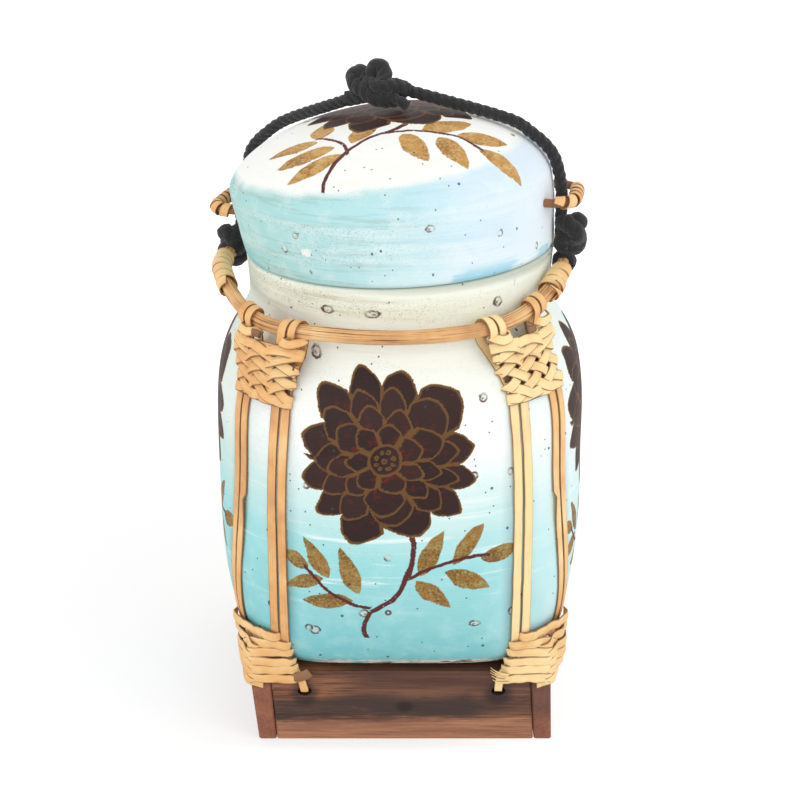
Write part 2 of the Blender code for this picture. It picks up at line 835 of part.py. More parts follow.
def add_plait(name, middle, low, high, skin):
    """A closed pad over the straps, thickened outwards from its inner skin."""
    points = []
    for row in range(PLAIT_ROWS):
        z = low + (high - low) * row / (PLAIT_ROWS - 1)
        half = plait_angle(z)
        for column in range(PLAIT_COLUMNS):
            share = 2 * column / (PLAIT_COLUMNS - 1) - 1
            points.append(skin(middle + half * share, z))
    mesh = mesh_from(name, points, grid_faces(PLAIT_ROWS, PLAIT_COLUMNS, False))
    pad = add_object(name, mesh, strip_rattan)
    add_solidify(pad, PLAIT_THICK, 1.0)


def build_harness():
    faces = ("front", "right", "back", "left")
    for quarter, face in enumerate(faces):
        add_strap(f"strap_{face}_by_{faces[quarter - 1]}", quarter, -1)
        add_strap(f"strap_{face}_by_{faces[(quarter + 1) % 4]}", quarter, 1)
    for index, corner in enumerate(("front_right", "back_right", "back_left", "front_left")):
        middle = -pi / 4 + index * pi / 2
        add_plait(f"upper_plait_{corner}", middle, LASH_START, PLAIT_TOP, upper_plait_point)
        low = SEAT_Z + TOUCH
        high = SEAT_Z + LOWER_PLAIT_HIGH
        add_plait(f"lower_plait_{corner}", middle, low, high, lower_plait_point)


# Lid loops

def loop_bar(side, along):
    """Middle, outward and upward directions of a loop's bar at a distance along it.

    The bar comes out of the wall, rounds a corner, runs across, rounds a corner and
    goes back in.
    """
    axis = loop_axis(side)
    across = np.cross((0, 0, 1), axis)
    base = loop_base(side)
    reach = by_side(side, LOOP_REACH_LEFT, LOOP_REACH_RIGHT)
    straight = reach - LOOP_CORNER + LID_WALL
    arc = LOOP_CORNER * pi / 2
    across_run = 2 * (LOOP_HALF - LOOP_CORNER)
    half = straight + arc + across_run / 2
    hand = -1.0 if along < half else 1.0
    rest = along if along < half else 2 * half - along
    if rest < straight:
        turn = 0.0
        point = axis * (rest - LID_WALL) + across * hand * LOOP_HALF
    elif rest < straight + arc:
        turn = (rest - straight) / LOOP_CORNER
        point = axis * (reach - LOOP_CORNER + LOOP_CORNER * sin(turn))
        point = point + across * hand * (LOOP_HALF - LOOP_CORNER + LOOP_CORNER * cos(turn))
    else:
        turn = pi / 2
        point = axis * reach + across * hand * (half - rest)
    out = across * hand * cos(turn) + axis * sin(turn)
    return base + point, out, np.array([0.0, 0.0, 1.0])


def loop_length(side):
    straight = by_side(side, LOOP_REACH_LEFT, LOOP_REACH_RIGHT) - LOOP_CORNER + LID_WALL
    return 2 * (straight + LOOP_CORNER * pi / 2 + LOOP_HALF - LOOP_CORNER)


def build_loops():
    for name, side in (("left", -1), ("right", 1)):
        def bar(along, side=side):
            return loop_bar(side, along)
        length = loop_length(side)
        route = [bar(length * step / LOOP_POINTS)[0] for step in range(LOOP_POINTS + 1)]
        add_tube(f"lid_loop_{name}", route, LOOP_CORE, hoop_rattan)
        first = (length - LOOP_WRAP_TURNS * LOOP_WRAP_PITCH) / 2
        wind(f"lid_loop_winding_{name}", bar, first, LOOP_WRAP_TURNS, LOOP_WRAP_PITCH,
             LOOP_CORE, LOOP_WRAP_WIDTH, LOOP_WRAP_THICK)


# Cord

def knot_centre(side):
    turn = by_side(side, KNOT_TURN_LEFT, KNOT_TURN_RIGHT)
    out = by_side(side, KNOT_OUT_LEFT, KNOT_OUT_RIGHT)
    rise = by_side(side, KNOT_RAISE_LEFT, KNOT_RAISE_RIGHT)
    return hoop_point(turn) + out * heading(turn) + np.array([0.0, 0.0, rise])


def add_lumps(name, lumps, spin, material):
    """Overlapping ellipsoids joined into one body; each is a centre and three radii."""
    first = None
    for index, (centre, size) in enumerate(lumps):
        work = bmesh.new()
        bmesh.ops.create_uvsphere(work, u_segments=LUMP_SIDES, v_segments=LUMP_RINGS, radius=1.0)
        shape = Matrix.Rotation(spin, 4, "Z") @ Matrix.Diagonal((*size, 1.0))
        matrix = Matrix.Translation(centre) @ shape
        bmesh.ops.transform(work, matrix=matrix, verts=work.verts)
        mesh = bpy.data.meshes.new(name)
        work.to_mesh(mesh)
        work.free()
        shade_round(mesh, 60.0)
        if first is None:
            first = add_object(name, mesh, material)
            continue
        part = add_object(f"{name}_lump_{index}", mesh, None, cutter_group)
        part.hide_render = True
        part.display_type = "WIRE"
        join = first.modifiers.new("Join", "BOOLEAN")
        join.operation = "UNION"
        join.solver = "EXACT"
        join.object = part
    return first


def lump_reach(size, away, spin):
    """Distance from an ellipsoid's centre to its skin in a direction."""
    local = Matrix.Rotation(-spin, 3, "Z") @ Vector(unit(away))
    return 1.0 / sqrt(sum((part / radius) ** 2 for part, radius in zip(local, size)))


def cord_start(side):
    """Lowest point of the cord that rides on the lid, just under its loop."""
    turn = by_side(side, CORD_TURN_LEFT, CORD_TURN_RIGHT)
    rise = by_side(side, LOOP_RISE_LEFT, LOOP_RISE_RIGHT)
    place = lid_wall_point(turn, rise, CORD_RADIUS + CORD_CLEAR)
    place[2] = loop_base(side)[2] - ring_radius(LOOP_CORE, LOOP_WRAP_THICK) - LOOP_WRAP_THICK
    return place


def knot_lump(along, rise, size):
    """Centre and radii of one lump of the top knot, from its measures in cord radii."""
    crown = lid_point(0.0, 0.0, LID_SIDE + LID_CROWN)
    centre = crown + CORD_RADIUS * (along * heading(CORD_TURN_RIGHT) + np.array([0.0, 0.0, rise]))
    return centre, tuple(CORD_RADIUS * radius for radius in size)


def cord_on_lid(side):
    """Route over the lid: up the wall, round the crown's edge, straight to the knot."""
    turn = by_side(side, CORD_TURN_LEFT, CORD_TURN_RIGHT)
    start = cord_start(side)
    lift = CORD_RADIUS + 3 * TOUCH
    chosen = [start, start + np.array([0.0, 0.0, CORD_STRAIGHT])]
    for share, up in ((-0.10, 0.05), (0.25, 0.40), (0.52, 0.80), (0.72, 0.92)):
        point = lid_wall_point(turn, LID_SIDE + LID_CROWN * share, lift * sqrt(1.0 - up * up))
        point[2] += lift * up
        chosen.append(point)
    centre, size = knot_lump(*by_side(side, TOP_ROOT_LEFT, TOP_ROOT_RIGHT))
    away = chosen[-1] - centre
    chosen.append(centre + unit(away) * (lump_reach(size, away, CORD_TURN_RIGHT) + KNOT_GAP))
    return chosen


def stub_centre(side):
    """Middle of the short upright stub where the cord leaves the knot."""
    place = cord_start(side)
    top = knot_centre(side)[2] + by_side(side, KNOT_HALF_LEFT, KNOT_HALF_RIGHT)
    place[2] = top - by_side(side, STUB_SINK_LEFT, STUB_SINK_RIGHT) - STUB_HALF
    return place


def add_hoop_knot(name, side):
    """A knot on the hoop, with the band of cord that goes round the hoop and a stub above."""
    turn = by_side(side, KNOT_TURN_LEFT, KNOT_TURN_RIGHT)
    half = by_side(side, KNOT_HALF_LEFT, KNOT_HALF_RIGHT)
    lumps = [
        (knot_centre(side), (KNOT_WIDTH, KNOT_DEPTH, half)),
        (hoop_point(turn), (BAND_REACH, BAND_WIDTH, BAND_REACH)),
        (stub_centre(side), (STUB_RADIUS, STUB_RADIUS, STUB_HALF)),
    ]
    knot = add_lumps(name, lumps, turn, black_cord)
    points = [hoop_point(turn + share * BORE_SPAN) for share in np.linspace(-1.0, 1.0, 13)]
    bar = to_mesh_object(add_tube(f"{name}_bore", points, HOOP_CORE + 2 * TOUCH, hoop_rattan, sides=2))
    basket_group.objects.unlink(bar)
    cutter_group.objects.link(bar)
    add_cut(knot, bar)


def build_cord():
    for name, side in (("left", -1), ("right", 1)):
        add_hoop_knot(f"hoop_knot_{name}", side)
        low = stub_centre(side) + np.array([0.0, 0.0, STUB_HALF + TOUCH])
        high = cord_start(side) - np.array([0.0, 0.0, TOUCH])
        add_tube(f"cord_drop_{name}", [low, high], CORD_RADIUS, black_cord, sides=2)
        route = smooth_route(cord_on_lid(side), CORD_POINTS)
        add_tube(f"cord_over_lid_{name}", route, CORD_RADIUS, black_cord, sides=2)
    shapes = (TOP_KNOT_BODY, TOP_BIGHT_LEFT, TOP_BIGHT_MIDDLE, TOP_ROOT_RIGHT, TOP_ROOT_LEFT)
    add_lumps("top_knot", [knot_lump(*shape) for shape in shapes], CORD_TURN_RIGHT, black_cord)


build_foot()
build_body()
build_sleeve()
build_lid()
build_hoop()
build_hoop_windings()
build_harness()
build_loops()
build_cord()
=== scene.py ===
# Sticky rice basket: painted bamboo body and lid, rattan harness, wooden foot, black cord.
import math
import bpy
import numpy as np
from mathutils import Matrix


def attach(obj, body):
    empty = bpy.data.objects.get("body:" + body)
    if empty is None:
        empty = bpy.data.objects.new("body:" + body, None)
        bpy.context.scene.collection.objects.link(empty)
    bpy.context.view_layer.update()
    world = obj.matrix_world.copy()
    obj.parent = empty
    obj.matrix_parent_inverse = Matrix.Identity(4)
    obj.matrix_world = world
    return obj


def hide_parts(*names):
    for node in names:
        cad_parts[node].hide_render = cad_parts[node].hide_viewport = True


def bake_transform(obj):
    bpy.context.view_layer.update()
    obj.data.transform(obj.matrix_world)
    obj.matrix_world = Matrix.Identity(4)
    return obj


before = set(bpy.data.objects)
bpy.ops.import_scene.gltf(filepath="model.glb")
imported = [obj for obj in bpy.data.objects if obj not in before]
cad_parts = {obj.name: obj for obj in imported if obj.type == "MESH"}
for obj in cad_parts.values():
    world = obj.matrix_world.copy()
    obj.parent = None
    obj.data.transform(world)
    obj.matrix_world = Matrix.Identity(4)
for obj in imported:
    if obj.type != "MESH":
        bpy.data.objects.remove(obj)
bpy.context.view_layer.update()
pi = math.pi
print("frame loaded:", len(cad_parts), "nodes")


# small number helpers

def smooth(value):
    # 3v^2 - 2v^3 between 0 and 1
    value = np.clip(value, 0.0, 1.0)
    return value * value * (3.0 - 2.0 * value)


def softMax(first, second, ease):
    # (a + b + sqrt((a - b)^2 + ease^2)) / 2
    return 0.5 * (first + second + np.sqrt((first - second) ** 2 + ease * ease))


def unit(vectors):
    # vectors of length 1
    return vectors / np.maximum(np.linalg.norm(vectors, axis=-1, keepdims=True), 1e-12)


def along(points):
    # running length of a path, starting at 0
    steps = np.linalg.norm(np.diff(points, axis=0), axis=1)
    return np.concatenate([[0.0], np.cumsum(steps)])


def resample(points, count):
    # a smooth curve through the points (Catmull-Rom), read at even distances
    points = np.asarray(points, float)
    padded = np.vstack([2 * points[0] - points[1], points, 2 * points[-1] - points[-2]])
    share = np.linspace(0.0, 1.0, 24, endpoint=False)[:, None]
    a, b, c, d = padded[:-3, None], padded[1:-2, None], padded[2:-1, None], padded[3:, None]
    fine = 0.5 * (2 * b + (c - a) * share + (2 * a - 5 * b + 4 * c - d) * share ** 2
                  + (3 * b - a - 3 * c + d) * share ** 3)
    fine = np.vstack([fine.reshape(-1, 3), points[-1]])
    length = along(fine)
    even = np.linspace(0.0, length[-1], count)
    return np.stack([np.interp(even, length, fine[:, axis]) for axis in range(3)], axis=1)


def ripple(values, seed, waves=4, low=1.0, high=6.0):
    # a smooth wandering line in -1..1: a sum of sines with seeded rates and phases
    dice = np.random.default_rng(seed)
    rates = dice.uniform(low, high, waves)
    phases = dice.uniform(0.0, 2 * pi, waves)
    return np.sin(np.asarray(values)[..., None] * rates + phases).mean(axis=-1) * 1.4


def heading(turn):
    # the level direction (cos turn, sin turn, 0)
    return np.array([math.cos(turn), math.sin(turn), 0.0])


def quarterTurn(points, quarter):
    # rotate points by quarter turns about the basket's axis
    c, s = round(math.cos(quarter * pi / 2)), round(math.sin(quarter * pi / 2))
    return points @ np.array([[c, s, 0.0], [-s, c, 0.0], [0.0, 0.0, 1.0]])


# meshes from grids of points

def patch(points, uv=None, closedRows=False):
    # one grid of points whose columns close to a ring; uv holds a pair for each corner, with
    # one column more than points, and one row more where the rows close too; otherwise the
    # first and the last row are each closed by a fan of triangles
    rows, columns = points.shape[:2]
    wide = columns + 1
    tall = rows + (1 if closedRows else 0)
    if uv is None:
        u, v = np.meshgrid(np.linspace(0, 1, wide), np.linspace(0, 1, tall))
        uv = np.stack([u, v], axis=-1)
    r, c = np.meshgrid(np.arange(tall - 1), np.arange(columns), indexing="ij")
    rNext, cNext = (r + 1) % rows, (c + 1) % columns
    faces = np.stack([r * columns + c, r * columns + cNext, rNext * columns + cNext,
                      rNext * columns + c], axis=-1).reshape(-1, 4)
    corners = np.stack([r * wide + c, r * wide + c + 1, (r + 1) * wide + c + 1,
                        (r + 1) * wide + c], axis=-1).reshape(-1, 4)
    verts = points.reshape(-1, 3)
    spots = uv.reshape(-1, 2)
    triangles, triangleCorners = [np.zeros((0, 3), int)], [np.zeros((0, 3), int)]
    first = np.arange(columns)
    second = (first + 1) % columns
    for row, turned in () if closedRows else ((0, True), (rows - 1, False)):
        rim = np.stack([row * columns + first, row * columns + second], axis=-1)
        spot = np.stack([row * wide + first, row * wide + first + 1], axis=-1)
        if turned:
            rim, spot = rim[:, ::-1], spot[:, ::-1]
        triangles.append(np.column_stack([rim, np.full(columns, len(verts))]))
        triangleCorners.append(np.column_stack([spot, np.full(columns, len(spots))]))
        verts = np.vstack([verts, points[row].mean(axis=0)])
        spots = np.vstack([spots, uv[row].mean(axis=0)])
    return {"verts": verts, "quads": faces, "quadSpots": spots[corners.reshape(-1)],
            "triangles": np.vstack(triangles),
            "triangleSpots": spots[np.vstack(triangleCorners).reshape(-1)]}


def addPiece(name, patches, finish, body, replaces):
    # join patches into one mesh object that rides on a body and stands for CAD nodes
    verts, loops, spots, sizes = [], [], [], []
    count = 0
    for part in patches:
        verts.append(part["verts"])
        for faces, places in ((part["quads"], part["quadSpots"]),
                              (part["triangles"], part["triangleSpots"])):
            loops.append((faces + count).reshape(-1))
            spots.append(places.reshape(-1, 2))
            sizes.append(np.full(len(faces), faces.shape[1]))
        count += len(part["verts"])
    verts, loops = np.vstack(verts), np.concatenate(loops)
    spots, sizes = np.vstack(spots), np.concatenate(sizes)
    mesh = bpy.data.meshes.new(name)
    mesh.vertices.add(len(verts))
    mesh.vertices.foreach_set("co", verts.astype(np.float32).reshape(-1))
    mesh.loops.add(len(loops))
    mesh.loops.foreach_set("vertex_index", loops.astype(np.int32))
    mesh.polygons.add(len(sizes))
    starts = np.concatenate([[0], np.cumsum(sizes)[:-1]])
    mesh.polygons.foreach_set("loop_start", starts.astype(np.int32))
    mesh.polygons.foreach_set("use_smooth", np.ones(len(sizes), bool))
    mesh.update(calc_edges=True)
    layer = mesh.uv_layers.new(name="surfaceMap")
    layer.data.foreach_set("uv", spots.astype(np.float32).reshape(-1))
    mesh.validate()
    piece = bpy.data.objects.new(name, mesh)
    bpy.context.scene.collection.objects.link(piece)
    mesh.materials.append(finish)
    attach(piece, body)
    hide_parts(*replaces)
    return piece


def directions(path, outward):
    # unit tangents, and outward directions made square to them
    tangents = unit(np.gradient(path, axis=0))
    outward = np.broadcast_to(outward, path.shape)
    normals = unit(outward - (outward * tangents).sum(axis=1, keepdims=True) * tangents)
    return tangents, normals


def turningFrame(path):
    # normals carried along a path with the least twist, one step after another
    tangents = unit(np.gradient(path, axis=0))
    start = np.cross(tangents[0], [0.0, 0.0, 1.0])
    if np.linalg.norm(start) < 0.1:
        start = np.cross(tangents[0], [0.0, 1.0, 0.0])
    normals = [unit(start)]
    for tangent in tangents[1:]:
        last = normals[-1]
        normals.append(unit(last - (last @ tangent) * tangent))
    return tangents, np.array(normals)


def carry(path, tangents, normals, section, widths=1.0):
    # a section (columns, 2) of normal and side distances, carried along a path: the point is
    # path + section 1 x normal + section 2 x width x side
    sides = np.cross(tangents, normals)
    widths = np.broadcast_to(widths, (len(path),))[:, None, None]
    points = (path[:, None] + section[:, :1] * normals[:, None]
              + section[:, 1:] * widths * sides[:, None])
    across = section[:, 1] / np.abs(section[:, 1]).max()
    across = np.concatenate([across, across[:1]])
    return patch(points, np.stack(np.broadcast_arrays(along(path)[:, None], across[None]), axis=-1))


def stripSection(width, thick, columns=14, squareness=3.4):
    # a flat strip: superellipse |x/thick|^n + |y/width|^n = 1, corners rounded
    turn = np.linspace(0, 2 * pi, columns, endpoint=False) + pi / columns
    shape = np.abs(np.stack([np.cos(turn), np.sin(turn)], axis=1)) ** (2.0 / squareness)
    shape = shape * np.sign(np.stack([np.cos(turn), np.sin(turn)], axis=1))
    return shape * np.array([thick / 2, width / 2])


def ribbon(edges, thick, bow=0.0, roll=0.0):
    # a strip between two edge lines; bow lifts its middle line over its edges and roll
    # shifts its map
    middle = edges.mean(axis=1)
    side = unit(edges[:, 0] - edges[:, 1])
    width = np.linalg.norm(edges[:, 0] - edges[:, 1], axis=1)
    tangents = unit(np.gradient(middle, axis=0))
    normals = unit(np.cross(side, tangents))
    section = stripSection(1.0, thick)
    section[:, 0] += bow * (1 - (2 * section[:, 1]) ** 2)
    side = np.cross(tangents, normals)
    points = (middle[:, None] + section[:, :1] * normals[:, None]
              + section[:, 1:] * width[:, None, None] * side[:, None])
    length = along(middle) + roll
    across = np.concatenate([section[:, 1], section[:1, 1]]) * 2
    return patch(points, np.stack(np.broadcast_arrays(length[:, None], across[None]), axis=-1))


# materials: shader maths written as plain expressions

class Field:
    # a number, colour or vector that varies over a surface; operators add Math nodes
    def __init__(self, finish, socket):
        self.finish = finish
        self.socket = socket

    def math(self, operation, first, second=0.0, third=0.0):
        return self.finish.node("ShaderNodeMath", {"operation": operation},
                                {0: first, 1: second, 2: third})

    def __add__(self, other):
        return self.math("ADD", self, other)

    def __radd__(self, other):
        return self.math("ADD", other, self)

    def __sub__(self, other):
        return self.math("SUBTRACT", self, other)

    def __rsub__(self, other):
        return self.math("SUBTRACT", other, self)

    def __mul__(self, other):
        return self.math("MULTIPLY", self, other)

    def __rmul__(self, other):
        return self.math("MULTIPLY", other, self)

    def __truediv__(self, other):
        return self.math("DIVIDE", self, other)

    def __pow__(self, other):
        return self.math("POWER", self, other)

    def __abs__(self):
        return self.math("ABSOLUTE", self)

    def least(self, other):
        return self.math("MINIMUM", self, other)

    def most(self, other):
        return self.math("MAXIMUM", self, other)

    def sine(self):
        return self.math("SINE", self)

    def fract(self):
        return self.math("FRACT", self)

    def floor(self):
        return self.math("FLOOR", self)

    def rise(self, low, high):
        # 0 below low and 1 above high, with a smooth step between
        return self.finish.node("ShaderNodeMapRange", {"interpolation_type": "SMOOTHSTEP"},
                                {"Value": self, "From Min": low, "From Max": high})

    def fall(self, low, high):
        return 1.0 - self.rise(low, high)

    def part(self, index):
        # one part of a vector: 0 is x, 1 is y, 2 is z
        return self.finish.node("ShaderNodeSeparateXYZ", {}, {0: self}, output=index)


class Finish:
    # one material while it is being made
    def __init__(self, name, **surface):
        self.material = bpy.data.materials.new(name)
        self.material.use_nodes = True
        self.tree = self.material.node_tree
        self.shader = self.tree.nodes["Principled BSDF"]
        for key, value in surface.items():
            self.shader.inputs[key.replace("_", " ")].default_value = value

    def node(self, kind, settings, sockets, output=0):
        made = self.tree.nodes.new(kind)
        for key, value in settings.items():
            if key == "stops":
                ramp = made.color_ramp.elements
                while len(ramp) < len(value):
                    ramp.new(0.5)
                for element, (spot, colour) in zip(ramp, value):
                    element.position = spot
                    element.color = (*colour, 1.0)
            else:
                setattr(made, key, value)
        for key, value in sockets.items():
            self.join(value, made.inputs[key])
        return Field(self, made.outputs[output])

    def join(self, value, socket):
        if isinstance(value, Field):
            self.tree.links.new(value.socket, socket)
        elif socket.type == "RGBA":
            socket.default_value = (*value, 1.0)
        else:
            socket.default_value = value

    def place(self):
        return self.node("ShaderNodeTexCoord", {}, {}, output="Object")

    def surfaceMap(self):
        return self.node("ShaderNodeUVMap", {"uv_map": "surfaceMap"}, {})

    def vector(self, x, y, z=0.0):
        return self.node("ShaderNodeCombineXYZ", {}, {0: x, 1: y, 2: z})

    def stretch(self, vector, scale, shift=(0.0, 0.0, 0.0)):
        return self.node("ShaderNodeVectorMath", {"operation": "MULTIPLY_ADD"},
                         {0: vector, 1: scale, 2: shift})

    def noise(self, vector, scale, detail=3.0, roughness=0.5, warp=0.0):
        return self.node("ShaderNodeTexNoise", {},
                         {"Vector": vector, "Scale": scale, "Detail": detail,
                          "Roughness": roughness, "Distortion": warp}, output="Fac")

    def cells(self, vector, scale, output="Distance"):
        # a flat pattern of cells: the distance from each cell's point, or the cell's colour
        return self.node("ShaderNodeTexVoronoi", {"voronoi_dimensions": "2D"},
                         {"Vector": vector, "Scale": scale, "Randomness": 1.0}, output=output)

    def blend(self, share, first, second):
        # colours: first where share is 0, second where it is 1
        return self.node("ShaderNodeMix", {"data_type": "RGBA"},
                         {0: share, 6: first, 7: second}, output=2)

    def layers(self, colour, *coats):
        # coats laid over a colour one after another, each a share and a colour
        for share, coat in coats:
            colour = self.blend(share, colour, coat)
        return colour

    def ramp(self, value, stops):
        return self.node("ShaderNodeValToRGB", {"stops": stops}, {0: value})

    def relief(self, height, depth, strength=1.0, under=None):
        sockets = {"Height": height, "Distance": depth, "Strength": strength}
        if under is not None:
            sockets["Normal"] = under
        return self.node("ShaderNodeBump", {}, sockets)

    def done(self, **links):
        for key, value in links.items():
            self.join(value, self.shader.inputs[key.replace("_", " ")])
        return self.material


def paint(red, green, blue):
    # a colour as read from a screen, 0 to 255, turned to linear light
    values = np.array([red, green, blue]) / 255.0
    linear = np.where(values <= 0.04045, values / 12.92, ((values + 0.055) / 1.055) ** 2.4)
    return tuple(float(v) for v in linear)


# body: square at the seat, round at the neck

body = {
    "seatZ": 0.0348, "bellyZ": 0.1128, "neckZ": 0.1898, "rimZ": 0.2082,
    "seatHalf": 0.0555, "bellyHalf": 0.0801, "neckRadius": 0.0646, "rimRadius": 0.0657,
    "wall": 0.0030, "rimLean": 0.040, "edgeRound": 0.0009, "columns": 320,
}


def halfWidth(z):
    # to the belly: seat + (belly - seat)(1 - (1 - p)^3)^0.55
    # to the neck: belly - (belly - neck)(1 - cos(pi p^2.8)) / 2, then neck + (rim - neck) p^1.5
    low = np.clip((z - body["seatZ"]) / (body["bellyZ"] - body["seatZ"]), 0, 1)
    high = np.clip((z - body["bellyZ"]) / (body["neckZ"] - body["bellyZ"]), 0, 1)
    neck = np.clip((z - body["neckZ"]) / (body["rimZ"] - body["neckZ"]), 0, None)
    belly, narrow = body["bellyHalf"], body["neckRadius"]
    lower = body["seatHalf"] + (belly - body["seatHalf"]) * (1 - (1 - low) ** 3) ** 0.55
    upper = belly - (belly - narrow) * (0.5 - 0.5 * np.cos(pi * high ** 2.8))
    top = narrow + (body["rimRadius"] - narrow) * neck ** 1.5
    return np.where(z <= body["bellyZ"], lower, np.where(z <= body["neckZ"], upper, top))


def planPower(z):
    # exponent of the plan's superellipse: 2 + 0.6 L + 2.4 L^6, L falling from 1 to 0
    left = 1 - np.clip((z - body["seatZ"]) / (body["neckZ"] - body["seatZ"]), 0, 1)
    return 2.0 + 0.6 * left + 2.4 * left ** 6


def bodyRadius(angle, z):
    # the superellipse: half width / (|cos|^n + |sin|^n)^(1 / n)
    power = planPower(z)
    return halfWidth(z) / (np.abs(np.cos(angle)) ** power
                           + np.abs(np.sin(angle)) ** power) ** (1 / power)


def bodyPoint(angle, z, out=0.0):
    # a point of the outside, moved out along the surface's own normal
    angle, z, out = np.broadcast_arrays(np.asarray(angle, float), z, out)

    def spot(turn, height):
        reach = bodyRadius(turn, height)
        return np.stack([reach * np.cos(turn), reach * np.sin(turn), height], axis=-1)
    across = spot(angle + 0.01, z) - spot(angle - 0.01, z)
    upward = (spot(angle, np.minimum(z + 0.0005, body["rimZ"]))
              - spot(angle, np.maximum(z - 0.0005, body["seatZ"])))
    return spot(angle, z) + unit(np.cross(across, upward)) * out[..., None]


def faceDepth(side, z):
    # distance from the axis to a face, side metres from its middle
    power = planPower(z)
    ratio = np.minimum(np.abs(side) / halfWidth(z), 0.999)
    return halfWidth(z) * (1 - ratio ** power) ** (1 / power)


def leanRim(points, z):
    # the rim rises to the right
    lift = body["rimLean"] * points[..., 0] * smooth((z - body["neckZ"])
                                                     / (body["rimZ"] - body["neckZ"]))
    points = points.copy()
    points[..., 2] += lift
    return points


def bodyShell():
    # rows run from the middle of the underside, up the outside, over the rim, down the
    # inside and to the middle of the floor; columns run round the basket
    angles = np.linspace(0, 2 * pi, body["columns"], endpoint=False)
    seat, rim, wall, edge = body["seatZ"], body["rimZ"], body["wall"], body["edgeRound"]
    share = np.linspace(0, 1, 190)
    heights = seat + (rim - edge - seat) * (share + 0.35 * (share ** 2 - share) * (1 - share))
    turn, height = np.meshgrid(angles, heights)
    outside = leanRim(bodyPoint(turn, height), height)
    # a hand-formed wall: long swells of a few tenths of a millimetre
    swell = 0.00022 * ripple(turn * 3 + height * 30, 5) * smooth((height - seat) / 0.02)
    swell *= 1 - smooth((height - body["neckZ"]) / 0.008)
    outside[..., :2] *= (1 + swell / 0.07)[..., None]
    inside = leanRim(bodyPoint(turn, height, -wall), height)[::-3]
    inside = inside[inside[:, 0, 2] > seat + wall]
    bow = np.linspace(0, pi, 9)[1:-1]
    top, bottom = outside[-1], inside[0]
    lip = [top + (bottom - top) * (0.5 - 0.5 * math.cos(t)) + [0, 0, edge * math.sin(t)]
           for t in bow]
    flat = np.linspace(0.06, 0.985, 8)[:, None, None]
    under = outside[:1] * [1, 1, 0] * flat + [0, 0, seat]
    floor = inside[-1:] * [1, 1, 0] * flat[::-1] + [0, 0, seat + wall]
    points = np.concatenate([under, outside, np.array(lip), inside, floor])
    return points


def bodyPatch():
    points = bodyShell()
    columns = body["columns"]
    made = patch(points)
    # corner map: each quad belongs to the face whose middle is nearest
    half = columns // 8
    rows = len(points)
    ring = np.concatenate([points, points[:, :1]], axis=1)
    run = np.concatenate([np.zeros((rows, 1)),
                          np.cumsum(np.linalg.norm(np.diff(ring, axis=1), axis=2), axis=1)], axis=1)
    start = np.arange(columns)
    face = ((start + half) // (columns // 4)) % 4
    middle = face * (columns // 4)
    total = run[:, -1:]

    def reach(column):
        ahead = run[:, np.minimum(column, columns)] - run[:, middle]
        return np.where(ahead > total / 2, ahead - total, ahead) + 0.3 * face
    left, right = reach(start), reach(start + 1)
    height = np.broadcast_to(points[:, :1, 2], (rows, columns))
    r = np.arange(rows - 1)
    spots = np.stack([
        np.stack([left[r], height[r]], -1), np.stack([right[r], height[r]], -1),
        np.stack([right[r + 1], height[r + 1]], -1), np.stack([left[r + 1], height[r + 1]], -1),
    ], axis=2)
    made["quadSpots"] = spots.reshape(-1, 2)
    return made


# lid

lid = {
    "rimRadius": 0.0657, "radius": 0.0680, "side": 0.0290, "crown": 0.0280, "wall": 0.0030,
    "sway": 0.0040, "lean": 0.040, "crownLean": 0.050, "touch": 0.0003, "edgeRound": 0.0012,
    "columns": 300,
}


def lidPoint(radius, angle, rise):
    # x = r cos a - sway min(rise / side, 1), y = r sin a, z leans to the right with x
    share = rise / (lid["side"] + lid["crown"])
    x = radius * np.cos(angle) - lid["sway"] * np.minimum(rise / lid["side"], 1.0)
    z = body["rimZ"] + lid["touch"] + rise + x * (lid["lean"] + lid["crownLean"] * share)
    return np.stack(np.broadcast_arrays(x, radius * np.sin(angle), z), axis=-1)


def lidProfile(count):
    # side: r = rim + (radius - rim) sin(pi p / 2); crown: r = radius cos^0.92, rise by sin^1.2
    p = np.linspace(0, 1, count // 3, endpoint=False)
    side = np.stack([lid["rimRadius"] + (lid["radius"] - lid["rimRadius"]) * np.sin(pi / 2 * p),
                     lid["side"] * p], axis=1)
    turn = pi / 2 * np.linspace(0, 1, count) ** 0.92
    crown = np.stack([lid["radius"] * np.maximum(np.cos(turn), 0) ** 0.92,
                      lid["side"] + lid["crown"] * np.sin(turn) ** 1.2], axis=1)
    return np.vstack([side, crown])


def lidSurface(rise):
    # the lid's radius at a height over its rim
    profile = lidProfile(120)
    return np.interp(rise, profile[:, 1], profile[:, 0])


